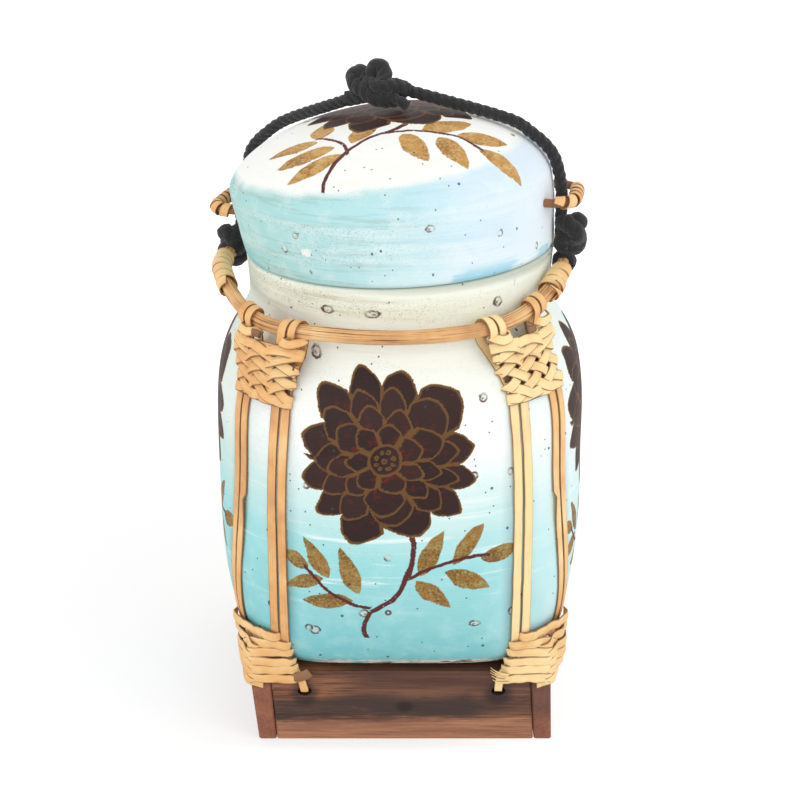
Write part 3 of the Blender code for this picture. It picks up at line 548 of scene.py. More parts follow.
def lidPatch():
    # rows run from under the crown, down the inside, round the rim, up the outside
    outside = lidProfile(110)
    slope = np.gradient(outside, axis=0)
    normal = unit(np.stack([slope[:, 1], -slope[:, 0]], axis=1))
    inside = outside - lid["wall"] * normal
    inside[:, 0] = np.maximum(inside[:, 0], 0)
    inside = inside[inside[:, 1] > 0.002][::-1]
    edge = lid["edgeRound"]
    low, high = inside[-1], outside[0]
    turn = np.linspace(0, pi, 9)[:, None]
    middle = np.array([(low[0] + high[0]) / 2, edge])
    half = np.array([(high[0] - low[0]) / 2, edge])
    lip = middle + np.concatenate([-np.cos(turn), -np.sin(turn)], axis=1) * half
    outside = outside[outside[:, 1] > edge]
    profile = np.vstack([inside[:-1], lip, outside])
    keep = profile[:, 0] > 0.0004
    profile = profile[keep]
    angles = np.linspace(0, 2 * pi, lid["columns"], endpoint=False)
    points = lidPoint(profile[:, :1], angles[None], profile[:, 1:])
    # long swells of the hand-turned wall
    swell = 0.00025 * ripple(angles[None] * 2 + profile[:, 1:] * 55, 9)
    swell = swell * smooth((profile[:, 1:] - 0.004) / 0.01)
    points[..., :2] *= (1 + swell / 0.06)[..., None]
    arc = along(np.column_stack([profile, np.zeros(len(profile))]))
    reach = (arc[-1] - arc)[:, None]
    turns = np.linspace(0, 2 * pi, lid["columns"] + 1)
    # the map: the wall rolled out flat from the top of the crown
    uv = np.stack([reach * np.cos(turns), reach * np.sin(turns)], axis=-1)
    return patch(points, uv)


# painted ornament: a layered rosette over a sprig, on each face and on the lid

ornament = {
    "petalDark": paint(44, 27, 25), "petalWorn": paint(70, 44, 40), "petalRed": paint(106, 28, 26),
    "outline": paint(132, 92, 44), "outlineDark": paint(112, 74, 40), "rim": paint(176, 150, 48),
    "leafGold": paint(154, 114, 54), "leafPale": paint(164, 148, 90),
    "leafEdge": paint(98, 70, 34), "stem": paint(92, 40, 38),
    "lidGold": paint(196, 148, 78), "lidPale": paint(214, 178, 116), "lidEdge": paint(136, 94, 46),
    "face": ("leafGold", "leafPale", "leafEdge"), "lid": ("lidGold", "lidPale", "lidEdge"),
    "rings": ((0.0385, 12, 0.0, 0.20), (0.0312, 11, 0.9, 0.22), (0.0240, 9, 0.2, 0.24),
              (0.0165, 7, 1.3, 0.26)),
    "disc": 0.0072,
}


def rosette(finish, x, z, grain):
    # rings of petals, the inner ones on top; a petal's edge is r = R (1 - depth w^1.4), with
    # w from 0 at its middle to 1 at its sides; returns shares of paint, line and tinge
    far = (x * x + z * z) ** 0.5
    turn = z.math("ARCTAN2", z, x)
    turn = turn + (turn * 3.0 + 1.1).sine() * 0.10 + (turn * 2.0 + 0.4).sine() * 0.06
    cover, line, tinge, petal = None, None, None, None
    for number, (radius, petals, phase, depth) in enumerate(ornament["rings"]):
        spot = (turn + (phase + pi * 3)) * (petals / (2 * pi))
        side = abs(spot.fract() - 0.5) * 2.0
        edge = radius * (1.0 - depth * side ** 1.4) * (1.0 + (spot.floor() * 2.4).sine() * 0.050)
        inside = (edge - far).rise(-0.0001, 0.0003)
        toEdge = ((edge - far) * 0.8).least((1.0 - side) * far * (pi / petals))
        stroke = (toEdge + grain * 0.0008).fall(0.0006, 0.0013)
        shade = (spot.floor() * 5.3 + number * 2.1).sine() * 0.5 + 0.5
        heart = (far / edge).fall(0.55, 0.95)
        if cover is None:
            cover, line, tinge, petal = inside, stroke, heart, shade
        else:
            line = line + (stroke - line) * inside
            tinge = tinge + (heart - tinge) * inside
            petal = petal + (shade - petal) * inside
    disc = ornament["disc"]
    inDisc = (disc - far).rise(0.0, 0.0003)
    ringLine = abs(far - disc * 0.92).fall(0.0005, 0.0011)
    dots = (abs(((turn * (8 / (2 * pi))).fract() - 0.5) * (far * (2 * pi / 8))) ** 2
            + (far - disc * 0.5) ** 2) ** 0.5
    dot = abs(dots - 0.0006).fall(0.0002, 0.0005).most(abs(far - 0.0008).fall(0.0003, 0.0006))
    line = line + (ringLine.most(dot) - line) * inDisc
    return cover, line, tinge * (1.0 - inDisc), petal


def leaf(x, z, base, turn, length, width):
    # a pointed leaf: half its width is w/2 (4 s (1 - s))^0.8, s running from base to tip
    c, s = math.cos(turn), math.sin(turn)
    run = ((x - base[0]) * c + (z - base[1]) * s) / length
    off = abs((z - base[1]) * c - (x - base[0]) * s)
    bulge = (run * (1.0 - run) * 4.0).most(0.0) ** 0.8 * (1.25 - 0.5 * run)
    return (bulge * (width / 2) - off).rise(-0.0001, 0.0004)


def stroke(x, z, start, end, bow, wide):
    # a thin curved line from start to end that bows sideways by bow at its middle
    dx, dz = end[0] - start[0], end[1] - start[1]
    length = math.hypot(dx, dz)
    c, s = dx / length, dz / length
    run = ((x - start[0]) * c + (z - start[1]) * s) / length
    off = (z - start[1]) * c - (x - start[0]) * s
    bend = off - run * (1.0 - run) * (4 * bow)
    within = run.rise(-0.01, 0.01) * run.fall(0.99, 1.01)
    return abs(bend).fall(wide * 0.45, wide * 0.65) * within


def sprig(x, z, stems, leaves):
    # stems and leaves drawn from their own lists
    stemShare, leafShare = None, None
    for start, end, bow, wide in stems:
        mark = stroke(x, z, start, end, bow, wide)
        stemShare = mark if stemShare is None else stemShare.most(mark)
    for base, turn, length, width in leaves:
        mark = leaf(x, z, base, math.radians(turn), length, width)
        leafShare = mark if leafShare is None else leafShare.most(mark)
    return stemShare, leafShare


faceStems = (((0.009, -0.030), (0.008, -0.054), 0.0026, 0.0021),
             ((0.008, -0.054), (-0.006, -0.070), 0.0022, 0.0021),
             ((-0.006, -0.070), (-0.008, -0.084), -0.0022, 0.0020),
             ((-0.006, -0.068), (-0.034, -0.049), 0.0036, 0.0014),
             ((0.007, -0.055), (0.044, -0.044), 0.0034, 0.0014))
faceLeaves = (((-0.012, -0.0610), 108, 0.0225, 0.0084), ((-0.024, -0.0540), 122, 0.0200, 0.0072),
              ((-0.014, -0.0640), 186, 0.0215, 0.0072), ((-0.026, -0.0545), 198, 0.0190, 0.0070),
              ((-0.032, -0.0500), 156, 0.0150, 0.0062),
              ((0.014, -0.0520), 66, 0.0225, 0.0082), ((0.028, -0.0470), 55, 0.0215, 0.0074),
              ((0.012, -0.0545), -42, 0.0200, 0.0080), ((0.025, -0.0500), -28, 0.0205, 0.0082),
              ((0.040, -0.0455), 10, 0.0170, 0.0072))
lidStems = (((0.006, -0.026), (-0.006, -0.041), 0.003, 0.0020),
            ((-0.006, -0.041), (-0.030, -0.072), -0.004, 0.0018),
            ((-0.006, -0.041), (0.036, -0.050), 0.004, 0.0014),
            ((-0.019, -0.054), (-0.032, -0.034), -0.004, 0.0015))
lidLeaves = (((0.010, -0.0400), 26, 0.0230, 0.0110), ((0.024, -0.0430), 8, 0.0230, 0.0100),
             ((0.002, -0.0430), -60, 0.0225, 0.0098), ((0.017, -0.0455), -56, 0.0225, 0.0094),
             ((0.034, -0.0500), -22, 0.0230, 0.0086),
             ((-0.017, -0.0450), 62, 0.0220, 0.0100), ((-0.030, -0.0350), 84, 0.0160, 0.0098),
             ((-0.031, -0.0380), 170, 0.0220, 0.0080), ((-0.024, -0.0460), 184, 0.0250, 0.0086),
             ((-0.021, -0.0530), 196, 0.0250, 0.0088))


def drawOrnament(finish, under, x, z, stems, leaves, tones, place):
    # lay the rosette and its sprig over a coat of paint, both shifted by noise of up to 2 mm;
    # returns the colour and the cover
    rough = finish.noise(place, 900.0, 2.0, 0.6)
    broad = finish.noise(place, 70.0, 2.0)
    tone = finish.noise(place, 260.0, 3.0, 0.65)
    shiftX = (broad - 0.5) * 0.0040 + (rough - 0.5) * 0.0010
    shiftZ = (finish.noise(finish.stretch(place, (1, 1, 1), (0.3, 0.1, 0.2)), 70.0, 2.0) - 0.5)
    shiftZ = shiftZ * 0.0040 + (rough - 0.5) * 0.0010
    x, z = x + shiftX, z + shiftZ
    cover, line, tinge, petal = rosette(finish, x, z, rough - 0.5)
    stemShare, leafShare = sprig(x, z, stems, leaves)
    dark = finish.blend(petal * 0.35, ornament["petalDark"], ornament["petalWorn"])
    dark = finish.blend((tinge * tone.rise(0.50, 0.66)) * 0.75, dark, ornament["petalRed"])
    gold = finish.blend(tone.rise(0.35, 0.7), ornament["outline"], ornament["outlineDark"])
    bloom = finish.blend(line * (0.30 + tone * 0.75), dark, gold)
    wornLeaf = rough.rise(0.33, 0.40)
    foliage = finish.blend(tone.rise(0.42, 0.72), ornament[tones[0]], ornament[tones[1]])
    foliage = finish.blend((rough * 0.6 + broad * 0.4).rise(0.46, 0.60) * 0.75, foliage,
                           ornament[tones[2]])
    colour = finish.blend(leafShare * (0.86 + 0.14 * wornLeaf), under, foliage)
    colour = finish.blend(stemShare * rough.rise(0.28, 0.34), colour, ornament["stem"])
    rimGold = (cover * 1.0).math("COMPARE", cover, 0.5, 0.46) * rough.rise(0.42, 0.5)
    colour = finish.blend(cover, colour, bloom)
    colour = finish.blend(rimGold * 0.85, colour, ornament["rim"])
    return colour, cover.most(leafShare).most(stemShare)


def pits(finish, spots, scale, share, wide):
    # little round scars: rings in a few of the cells of a flat Voronoi pattern
    far = finish.cells(spots, scale)
    dice = finish.node("ShaderNodeSeparateColor", {},
                       {0: finish.cells(spots, scale, "Color")}, output=0)
    other = finish.node("ShaderNodeSeparateColor", {},
                        {0: finish.cells(spots, scale, "Color")}, output=1)
    chosen = dice.rise(1 - share - 0.001, 1 - share)
    radius = (0.50 + 0.50 * other) * (wide * scale)
    ring = abs(far - radius).fall(0.00030 * scale, 0.00062 * scale)
    inner = (radius - far).rise(0.0, 0.0004 * scale)
    return ring * chosen, inner * chosen


def scars(finish, x, z, spots):
    # chosen marks: uneven oval rings, a little fainter on one side, with a fleck off the
    # middle; a ring is where |distance - 0.95| is under 0.14 to 0.36, shifted by noise
    ring, inner = None, None
    place = finish.vector(x, z, 0.0)
    waver = finish.noise(place, 620.0, 2.0, 0.6)
    gaps = finish.noise(place, 480.0, 2.0, 0.5).rise(0.40, 0.50)
    for number, (across, height, wide, tall) in enumerate(spots):
        right, high = (x - across) / wide, (z - height) / tall
        far = (right ** 2 + high ** 2) ** 0.5 + (waver - 0.5) * 0.9
        side = 1.0 if number % 2 else -1.0
        line = abs(far - 0.95).fall(0.14, 0.36) * (right * side - high * 0.6).rise(-1.7, -0.1)
        fleck = ((right - 0.25 * side) ** 2 + (high + 0.15) ** 2) ** 0.5
        line = (line * (0.55 + 0.45 * gaps)).most(fleck.fall(0.18, 0.40) * gaps * 0.8)
        middle = far.fall(0.80, 1.05)
        ring = line if ring is None else ring.most(line)
        inner = middle if inner is None else inner.most(middle)
    return ring, inner


def specks(finish, spots, scale, share, size):
    far = finish.cells(spots, scale)
    dice = finish.node("ShaderNodeSeparateColor", {},
                       {0: finish.cells(spots, scale, "Color")}, output=2)
    return far.fall(size * scale * 0.6, size * scale) * dice.rise(1 - share - 0.001, 1 - share)


# coats of paint

bodyCoat = {
    "deep": paint(120, 197, 204), "turquoise": paint(146, 209, 212), "sky": paint(160, 220, 222),
    "mist": paint(206, 236, 234), "white": paint(249, 252, 250), "chalk": paint(245, 248, 240),
    "cream": paint(243, 247, 234), "wash": paint(190, 232, 232), "streak": paint(240, 250, 248),
    "moss": paint(196, 204, 150), "ochre": paint(204, 194, 164), "grime": paint(150, 160, 132),
    "grit": paint(140, 124, 84), "corner": paint(186, 212, 202), "bright": paint(232, 249, 250),
    "shadow": paint(74, 120, 128), "scar": paint(84, 44, 40), "pit": paint(214, 212, 202),
    "speck": paint(58, 60, 72), "base": paint(116, 142, 144), "hem": paint(232, 224, 206),
    "chip": paint(96, 62, 50), "paintedLidShadow": paint(110, 126, 108),
    "scars": ((-0.0300, 0.1990, 0.0026, 0.0020), (-0.0112, 0.1985, 0.0030, 0.0019),
              (0.0425, 0.1990, 0.0021, 0.0021), (-0.0565, 0.1990, 0.0016, 0.0014),
              (-0.0352, 0.1800, 0.0021, 0.0022), (-0.0360, 0.0600, 0.0022, 0.0020),
              (0.0345, 0.1640, 0.0017, 0.0016), (-0.0150, 0.0700, 0.0020, 0.0018),
              (0.0315, 0.0640, 0.0022, 0.0013)),
}


def paintGrains(f, place):
    # tiny dark grains, longer along the rings than up the wall
    return f.noise(f.stretch(place, (1, 1, 1.7)), 1300.0, 3.0, 0.7).rise(0.54, 0.66)


def bodyFinish():
    # a ramp up the wall from turquoise to cream, its level shifted by noise and lowered
    # towards the left as painted shade; over it streaks, grime, painted shade on the left corner,
    # shade beside the straps, painted light on the right, the ornament, scars, specks, painted
    # shade at the foot, a worn hem and a painted shadow under the lid
    f = Finish("turquoisePaint", Roughness=0.55, Specular_IOR_Level=0.22)
    place, spots = f.place(), f.surfaceMap()
    height = place.part(2)
    u, v = spots.part(0), spots.part(1)
    cell = ((u + 0.15) / 0.3).floor()
    x = u - cell * 0.3
    spots2 = f.vector(u, v, 0.0)
    wander = f.noise(f.stretch(place, (1, 1, 0.6)), 22.0, 3.0, 0.6)
    streaks = f.noise(f.stretch(place, (16, 16, 260)), 1.0, 4.0, 0.62)
    broadStreak = f.noise(f.stretch(place, (7, 7, 90), (3.1, 7.7, 0)), 1.0, 3.0, 0.6)
    fine = f.noise(place, 420.0, 4.0, 0.7)
    mottle = f.noise(place, 120.0, 3.0, 0.6)
    # the level also falls towards the left: painted shade on the side turned from the light
    level = height + (wander - 0.5) * 0.018 + (broadStreak - 0.5) * 0.022 + place.part(0) * 0.07
    colour = f.ramp((level - 0.040) / 0.170, (
        (0.00, bodyCoat["deep"]), (0.16, bodyCoat["turquoise"]), (0.33, bodyCoat["sky"]),
        (0.45, bodyCoat["mist"]), (0.60, bodyCoat["white"]), (0.80, bodyCoat["chalk"]),
        (0.90, bodyCoat["cream"]), (1.0, bodyCoat["cream"])))
    colour = f.blend(mottle.rise(0.40, 0.75) * height.fall(0.09, 0.14) * 0.35, colour,
                     bodyCoat["wash"])
    whites = (streaks.rise(0.55, 0.68) * height.rise(0.066, 0.088) * height.fall(0.112, 0.135))
    colour = f.blend(whites * 0.75, colour, bodyCoat["streak"])
    neck = height.rise(0.176, 0.190)
    leftness = 0.25 + 0.75 * place.part(0).fall(-0.03, 0.05)
    smear = broadStreak.rise(0.48, 0.72) * (0.30 + 0.70 * neck) * leftness
    colour = f.blend(smear * height.rise(0.135, 0.19) * 0.34, colour, bodyCoat["moss"])
    colour = f.blend(streaks.rise(0.47, 0.60) * neck * leftness * 0.26, colour,
                     bodyCoat["ochre"])
    colour = f.blend(streaks.rise(0.58, 0.70) * neck * leftness * 0.34, colour, bodyCoat["grime"])
    grit = paintGrains(f, place) * (mottle * 0.4 + broadStreak * 0.6).rise(0.46, 0.58)
    colour = f.blend(grit * (0.30 + 0.70 * neck) * leftness * 0.85, colour,
                     bodyCoat["grit"])
    # painted shade: the left corner above the belly is greyed, on the side turned from the light
    corner = place.part(0).fall(-0.066, -0.050) * height.rise(0.105, 0.130)
    colour = f.blend(corner * 0.34, colour, bodyCoat["corner"])
    colour = f.blend(fine.rise(0.60, 0.72) * 0.24 * (0.4 + 0.6 * neck), colour, bodyCoat["grime"])
    # painted light: the right side of the wall is paled where the light falls
    colour = f.blend((place.part(0) + (wander - 0.5) * 0.03).rise(0.030, 0.076) * 0.55, colour,
                     bodyCoat["bright"])
    strapShade = abs(abs(x) - 0.0475).fall(0.0, 0.0058) * height.fall(0.150, 0.178)
    colour = f.blend(strapShade * (0.16 + 0.22 * height.fall(0.07, 0.14)), colour,
                     bodyCoat["shadow"])
    art, artCover = drawOrnament(f, colour, x + 0.0058, v - 0.1405, faceStems, faceLeaves,
                                 ornament["face"], f.vector(u, v, 0.0))
    ring, inner = pits(f, spots2, 58.0, 0.10, 0.0018)
    ring, inner = ring * (1.0 - artCover), inner * (1.0 - artCover)
    ringMark, innerMark = scars(f, u - 0.9, v, bodyCoat["scars"])
    crescent = (ring * mottle.rise(0.38, 0.52)).most(ringMark)
    ring, inner = ring.most(ringMark), inner.most(innerMark)
    dot = specks(f, spots2, 210.0, 0.10, 0.00045).most(specks(f, spots2, 95.0, 0.08, 0.0008))
    art = f.blend(inner * 0.55, art, bodyCoat["pit"])
    art = f.blend(crescent * 0.92, art, bodyCoat["scar"])
    art = f.blend(dot * 0.85, art, bodyCoat["speck"])
    # painted shade: darker at the foot of the wall, where it curves under onto the foot
    art = f.blend(height.fall(0.0370, 0.0450) * 0.50, art, bodyCoat["base"])
    hem = height.fall(0.0400, 0.0425)
    worn = f.noise(f.stretch(place, (60, 60, 420)), 1.0, 3.0, 0.7)
    art = f.blend(hem * worn.rise(0.44, 0.52), art, bodyCoat["hem"])
    art = f.blend(hem * worn.rise(0.56, 0.60), art, bodyCoat["chip"])
    # painted shadow: a dark grey-green band on the neck just under the lid's edge
    paintedLidShadow = height.rise(0.2050, 0.2090)
    art = f.blend(paintedLidShadow * 0.45, art, bodyCoat["paintedLidShadow"])
    coils = (height * (2 * pi / 0.0016) + wander * 9.0).sine() * 0.5 + 0.5
    rough = 0.50 + fine * 0.22 - artCover * 0.10
    normal = f.relief(coils * 0.5 + streaks, 0.00012, 0.55)
    normal = f.relief(fine * 0.5 - inner * 1.6 - ring * 0.5 - dot, 0.00030, 0.6, normal)
    normal = f.relief(artCover, 0.00010, 0.7, normal)
    return f.done(Base_Color=art, Roughness=rough, Normal=normal)


lidCoat = {
    "cyan": paint(167, 214, 209), "sky": paint(176, 222, 223), "pale": paint(188, 228, 234),
    "lavender": paint(212, 232, 245), "white": paint(232, 240, 247), "brush": paint(236, 246, 244),
    "grey": paint(150, 162, 148), "grit": paint(120, 138, 112), "mottle": paint(236, 246, 246),
    "low": paint(232, 247, 249), "patch": paint(128, 200, 224), "bare": paint(248, 246, 236),
    "top": paint(250, 251, 247), "topWorn": paint(240, 239, 222), "pit": paint(234, 236, 228),
    "scar": paint(120, 84, 84), "speck": paint(64, 76, 110), "rim": paint(120, 150, 140),
    "scars": ((-0.0500, 0.2225, 0.0014, 0.0016), (-0.0435, 0.2290, 0.0013, 0.0012),
              (0.0120, 0.2330, 0.0018, 0.0013), (0.0440, 0.2260, 0.0013, 0.0013)),
    "artX": 0.0020, "artZ": 0.0130, "round": 0.068, "pitch": 0.0017,
}


def lidFinish():
    # a ramp from cyan at the left to white at the right, shifted by noise, partly the paint's own
    # colour and partly painted light from the right; over it brush streaks, grime, a blue patch, a
    # bare one and the pale top, then ornament, scars, specks and painted shade along the bottom edge
    f = Finish("palePaint", Roughness=0.55, Specular_IOR_Level=0.22)
    place, spots = f.place(), f.surfaceMap()
    u, v = spots.part(0), spots.part(1)
    side, height = place.part(0), place.part(2)
    far = (u * u + v * v) ** 0.5
    level = height - 0.040 * side
    turn = v.math("ARCTAN2", place.part(1), side)
    wall = f.vector(turn * lidCoat["round"], level, 0.0)
    wander = f.noise(place, 26.0, 3.0, 0.6)
    streaks = f.noise(f.stretch(wall, (22, 330, 0)), 1.0, 4.0, 0.65)
    broad = f.noise(f.stretch(wall, (9, 110, 0), (5.3, 2.1, 0)), 1.0, 3.0, 0.6)
    fine = f.noise(place, 420.0, 4.0, 0.7)
    mottle = f.noise(place, 110.0, 3.0, 0.6)
    # the left-to-right ramp is partly the paint's own colour and partly painted light from the right
    stops = ((0.0, "cyan"), (0.28, "sky"), (0.52, "pale"), (0.74, "lavender"), (1.0, "white"))
    colour = f.ramp((side + (wander - 0.5) * 0.05 + 0.070) / 0.140,
                    [(spot, lidCoat[tone]) for spot, tone in stops])
    colour = f.blend(broad.rise(0.48, 0.68) * 0.45, colour, lidCoat["brush"])
    colour = f.blend(streaks.rise(0.50, 0.66) * side.fall(-0.03, 0.03) * 0.42, colour,
                     lidCoat["grey"])
    grit = paintGrains(f, place) * (mottle * 0.4 + broad * 0.6).rise(0.44, 0.56)
    colour = f.blend(grit * (0.15 + 0.85 * side.fall(-0.04, 0.03)) * 0.78, colour,
                     lidCoat["grit"])
    colour = f.blend(mottle.rise(0.45, 0.70) * 0.30, colour, lidCoat["mottle"])
    colour = f.blend(level.fall(0.2120, 0.2230) * side.rise(-0.03, 0.01) * 0.45, colour,
                     lidCoat["low"])
    low = level.fall(0.2100, 0.2165) * (wander + broad).rise(1.03, 1.16)
    colour = f.blend(low * 0.75, colour, lidCoat["patch"])
    right = (turn + pi / 2) * lidCoat["round"]
    bare = (((right + 0.0386) / 0.0042) ** 2 + ((level - 0.2219) / 0.0030) ** 2) ** 0.5
    bare = (bare + (broad - 0.5) * 4.0 + (fine - 0.5) * 2.0).fall(0.60, 0.95)
    colour = f.blend(bare * 0.8, colour, lidCoat["bare"])
    shoulder = 0.0625 - side * 0.10 + (wander - 0.5) * 0.014 + (broad - 0.5) * 0.006
    dome = (shoulder - far).rise(-0.003, 0.003)
    top = f.blend(broad.rise(0.45, 0.7) * 0.35, lidCoat["top"], lidCoat["topWorn"])
    colour = f.blend(dome, colour, top)
    colour = f.blend(fine.rise(0.62, 0.74) * 0.16, colour, bodyCoat["grime"])
    art, artCover = drawOrnament(f, colour, u - lidCoat["artX"], v - lidCoat["artZ"], lidStems,
                                 lidLeaves, ornament["lid"], place)
    ring, inner = pits(f, spots, 58.0, 0.07, 0.0012)
    ring, inner = ring * (1.0 - artCover), inner * (1.0 - artCover)
    ringMark, innerMark = scars(f, right, level, lidCoat["scars"])
    ring, inner = ring.most(ringMark), inner.most(innerMark)
    dot = specks(f, spots, 200.0, 0.10, 0.00045).most(specks(f, spots, 90.0, 0.09, 0.0008))
    art = f.blend(inner * 0.45, art, lidCoat["pit"])
    art = f.blend(ring * fine.rise(0.38, 0.52) * 0.85, art, lidCoat["scar"])
    art = f.blend(dot * 0.85, art, lidCoat["speck"])
    # painted shade: a dark grey-green band along the lid's bottom edge
    art = f.blend(level.fall(0.2085, 0.2105) * 0.35, art, lidCoat["rim"])
    coils = (height * (2 * pi / lidCoat["pitch"]) + wander * 9.0).sine() * 0.5 + 0.5
    rough = 0.50 + fine * 0.22 - artCover * 0.10
    normal = f.relief(coils * 0.5 + streaks * 1.2, 0.00014, 0.6)
    normal = f.relief(fine * 0.5 - inner * 1.6 - ring * 0.5 - dot, 0.00030, 0.6, normal)
    normal = f.relief(artCover, 0.00010, 0.7, normal)
    return f.done(Base_Color=art, Roughness=rough, Normal=normal)


addPiece("paintedBody", [bodyPatch()], bodyFinish(), "basket",
         ["basket_body"])
addPiece("paintedLid", [lidPatch()], lidFinish(), "lid", ["lid_shell"])
print("body and lid made")


# wooden foot and inner sleeve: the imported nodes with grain

wood = {
    "dark": paint(84, 46, 32), "light": paint(158, 104, 74), "pale": paint(184, 130, 92),
    "pore": paint(66, 40, 30), "gloss": paint(200, 146, 108), "far": paint(84, 62, 58),
    "bottom": paint(186, 134, 106), "grey": paint(80, 58, 50), "smoke": paint(52, 44, 43),
    "knot": paint(40, 26, 22), "soot": paint(34, 28, 28), "top": paint(76, 50, 42),
    "front": paint(144, 92, 66), "side": paint(146, 90, 70), "sideVivid": 0.32,
}


def boardFinish(name, alongY, tint, stain):
    # noise drawn out along the board makes grain and pores; the bands are
    # sin(520 (z + across / 2) + 9 grain + 12 warp); a stained board is smoky round its holes
    # and has a painted shadow of the basket along its top
    f = Finish(name, Roughness=0.5, Specular_IOR_Level=0.30)
    place = f.place()
    x, z = place.part(0), place.part(2)
    run, across = (1, 0) if alongY else (0, 1)
    scale = [0.0, 0.0, 0.0]
    scale[run], scale[across], scale[2] = 7.0, 60.0, 60.0
    warp = f.noise(f.stretch(place, (9, 9, 9)), 1.0, 2.0)
    grain = f.noise(f.stretch(place, scale), 1.6, 5.0, 0.62, 0.6)
    scale[run], scale[across], scale[2] = 40.0, 900.0, 900.0
    pores = f.noise(f.stretch(place, scale), 1.0, 4.0, 0.75)
    bands = ((z + place.part(across) * 0.5) * 520.0 + grain * 9.0
             + warp * 12.0).sine() * 0.5 + 0.5
    vivid = 1.0 if stain else wood["sideVivid"]
    colour = f.layers(
        f.ramp(grain * 0.75 + bands * 0.25, (
            (0.25, wood["dark"]), (0.45, tint), (0.62, wood["light"]), (0.80, wood["pale"]))),
        (1.0 - vivid, tint),
        (pores.rise(0.50, 0.64) * (0.80 * vivid), wood["pore"]),
        (pores.fall(0.36, 0.48) * (0.45 * vivid), wood["gloss"]))
    if stain:
        mist = f.noise(f.stretch(place, (26, 26, 70)), 1.0, 4.0, 0.65)
        grey = (x + (mist - 0.5) * 0.03).rise(-0.040, -0.010) * z.rise(0.0105, 0.0150)
        smoke = (abs(z - 0.0166 + (mist - 0.5) * 0.008 + (pores - 0.5) * 0.008).fall(0.0030, 0.0088)
                 * mist.rise(0.24, 0.44) * (1.0 - z.rise(0.019, 0.023) * x.fall(-0.036, -0.018))
                 * (1.0 - 0.72 * x.rise(0.028, 0.046)))
        knot = (((x - 0.002) * 0.75) ** 2 + (z - 0.0170) ** 2) ** 0.5
        soot = [((x - spot * 0.0420 - 0.0006) ** 2 + (z - 0.0235) ** 2) ** 0.5 for spot in (-1, 1)]
        # painted shadow of the basket over the board's top, deeper towards the right
        shade = z.rise(0.0235, 0.0290) * (0.25 + 0.75 * x.rise(-0.045, 0.0))
        colour = f.layers(
            colour,
            (z.fall(0.0080, 0.0125) * 0.40, wood["bottom"]),
            (grey * 0.62, wood["grey"]),
            (smoke * 0.82, wood["smoke"]),
            (knot.fall(0.0010, 0.0042) * 0.8, wood["knot"]),
            (soot[0].fall(0.003, 0.0085) * 0.75, wood["soot"]),
            (soot[1].fall(0.003, 0.0085) * 0.75, wood["soot"]),
            (shade * 0.62, wood["top"]))
    else:
        colour = f.blend(x.rise(0.0, 0.05) * z.rise(0.004, 0.016) * 0.6, colour, wood["far"])
    return f.done(Base_Color=colour, Roughness=0.42 + pores * 0.25,
                  Normal=f.relief(pores * 0.7 + grain, 0.00025, 0.6))


frontWood = boardFinish("frontWood", False, wood["front"], True)
sideWood = boardFinish("sideWood", True, wood["side"], False)


def sleeveFinish():
    # bare bamboo: fine level fibres and blotches of noise, and rings sin(2 pi z / 2.2 mm)
    f = Finish("bareBamboo", Roughness=0.6)
    place = f.place()
    height = place.part(2)
    fibre = f.noise(f.stretch(place, (40, 40, 700)), 1.0, 4.0, 0.6)
    patchy = f.noise(place, 40.0, 3.0)
    colour = f.ramp(fibre * 0.6 + patchy * 0.4, (
        (0.3, paint(150, 112, 66)), (0.5, paint(196, 158, 102)), (0.7, paint(222, 192, 138))))
    coils = (height * (2 * pi / 0.0022)).sine() * 0.5 + 0.5
    return f.done(Base_Color=colour, Roughness=0.5 + fibre * 0.25,
                  Normal=f.relief(coils + fibre, 0.0002, 0.6))


for name, finish in (("foot_board_front", frontWood), ("foot_board_back", frontWood),
                     ("foot_board_left", sideWood), ("foot_board_right", sideWood),
                     ("neck_sleeve", sleeveFinish())):
    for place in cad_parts[name].material_slots:
        place.material = finish
print("foot and sleeve dressed")


# rattan: strips, hoop and windings

rattan = {
    "pale": paint(254, 224, 164), "tan": paint(236, 178, 112), "brown": paint(178, 118, 74),
    "edge": paint(112, 66, 38), "fibre": paint(196, 144, 94), "mark": paint(104, 68, 48),
    "under": paint(84, 56, 42), "canePale": paint(252, 216, 158), "cane": paint(224, 170, 112),
    "caneBrown": paint(162, 108, 68), "caneDark": paint(112, 72, 50), "groove": paint(84, 50, 34),
}


def stripFinish(name, tone):
    # peeled rattan: lengthwise fibres, browner edges deepened by painted shade where strips
    # meet, a few dark nicks; tone 0 pale, 1 brown
    f = Finish(name, Roughness=0.5)
    place, spots = f.place(), f.surfaceMap()
    run, across = spots.part(0), spots.part(1)
    fibres = f.noise(f.vector(run * 30.0, across * 7.0, 0.0), 1.0, 4.0, 0.65)
    broad = f.noise(place, 45.0, 3.0, 0.6)
    fleck = f.noise(f.vector(run * 240.0, across * 5.0, 3.0), 1.0, 3.0, 0.7)
    shade = broad * 0.9 + fibres * 0.45 + (tone - 0.62)
    edge = (abs(across) + (fibres - 0.5) * 0.25).rise(0.76, 0.96)
    # pieces under the weave carry a map that starts past the edge: the further, the darker;
    # the sheets of painted shade behind the plaits' crossings use this too
    colour = f.layers(
        f.ramp(shade, ((0.15, rattan["pale"]), (0.50, rattan["tan"]), (0.85, rattan["brown"]))),
        (fibres.rise(0.56, 0.70) * 0.35, rattan["fibre"]),
        # the edges' own brown, deepened as painted shade where strips meet
        (edge * 0.84, rattan["edge"]),
        (fleck.rise(0.68, 0.74) * 0.7, rattan["mark"]),
        (abs(across).rise(1.2, 3.2), rattan["under"]))
    return f.done(Base_Color=colour, Roughness=0.42 + fibres * 0.25,
                  Normal=f.relief(fibres + fleck * 0.4, 0.00018, 0.7))


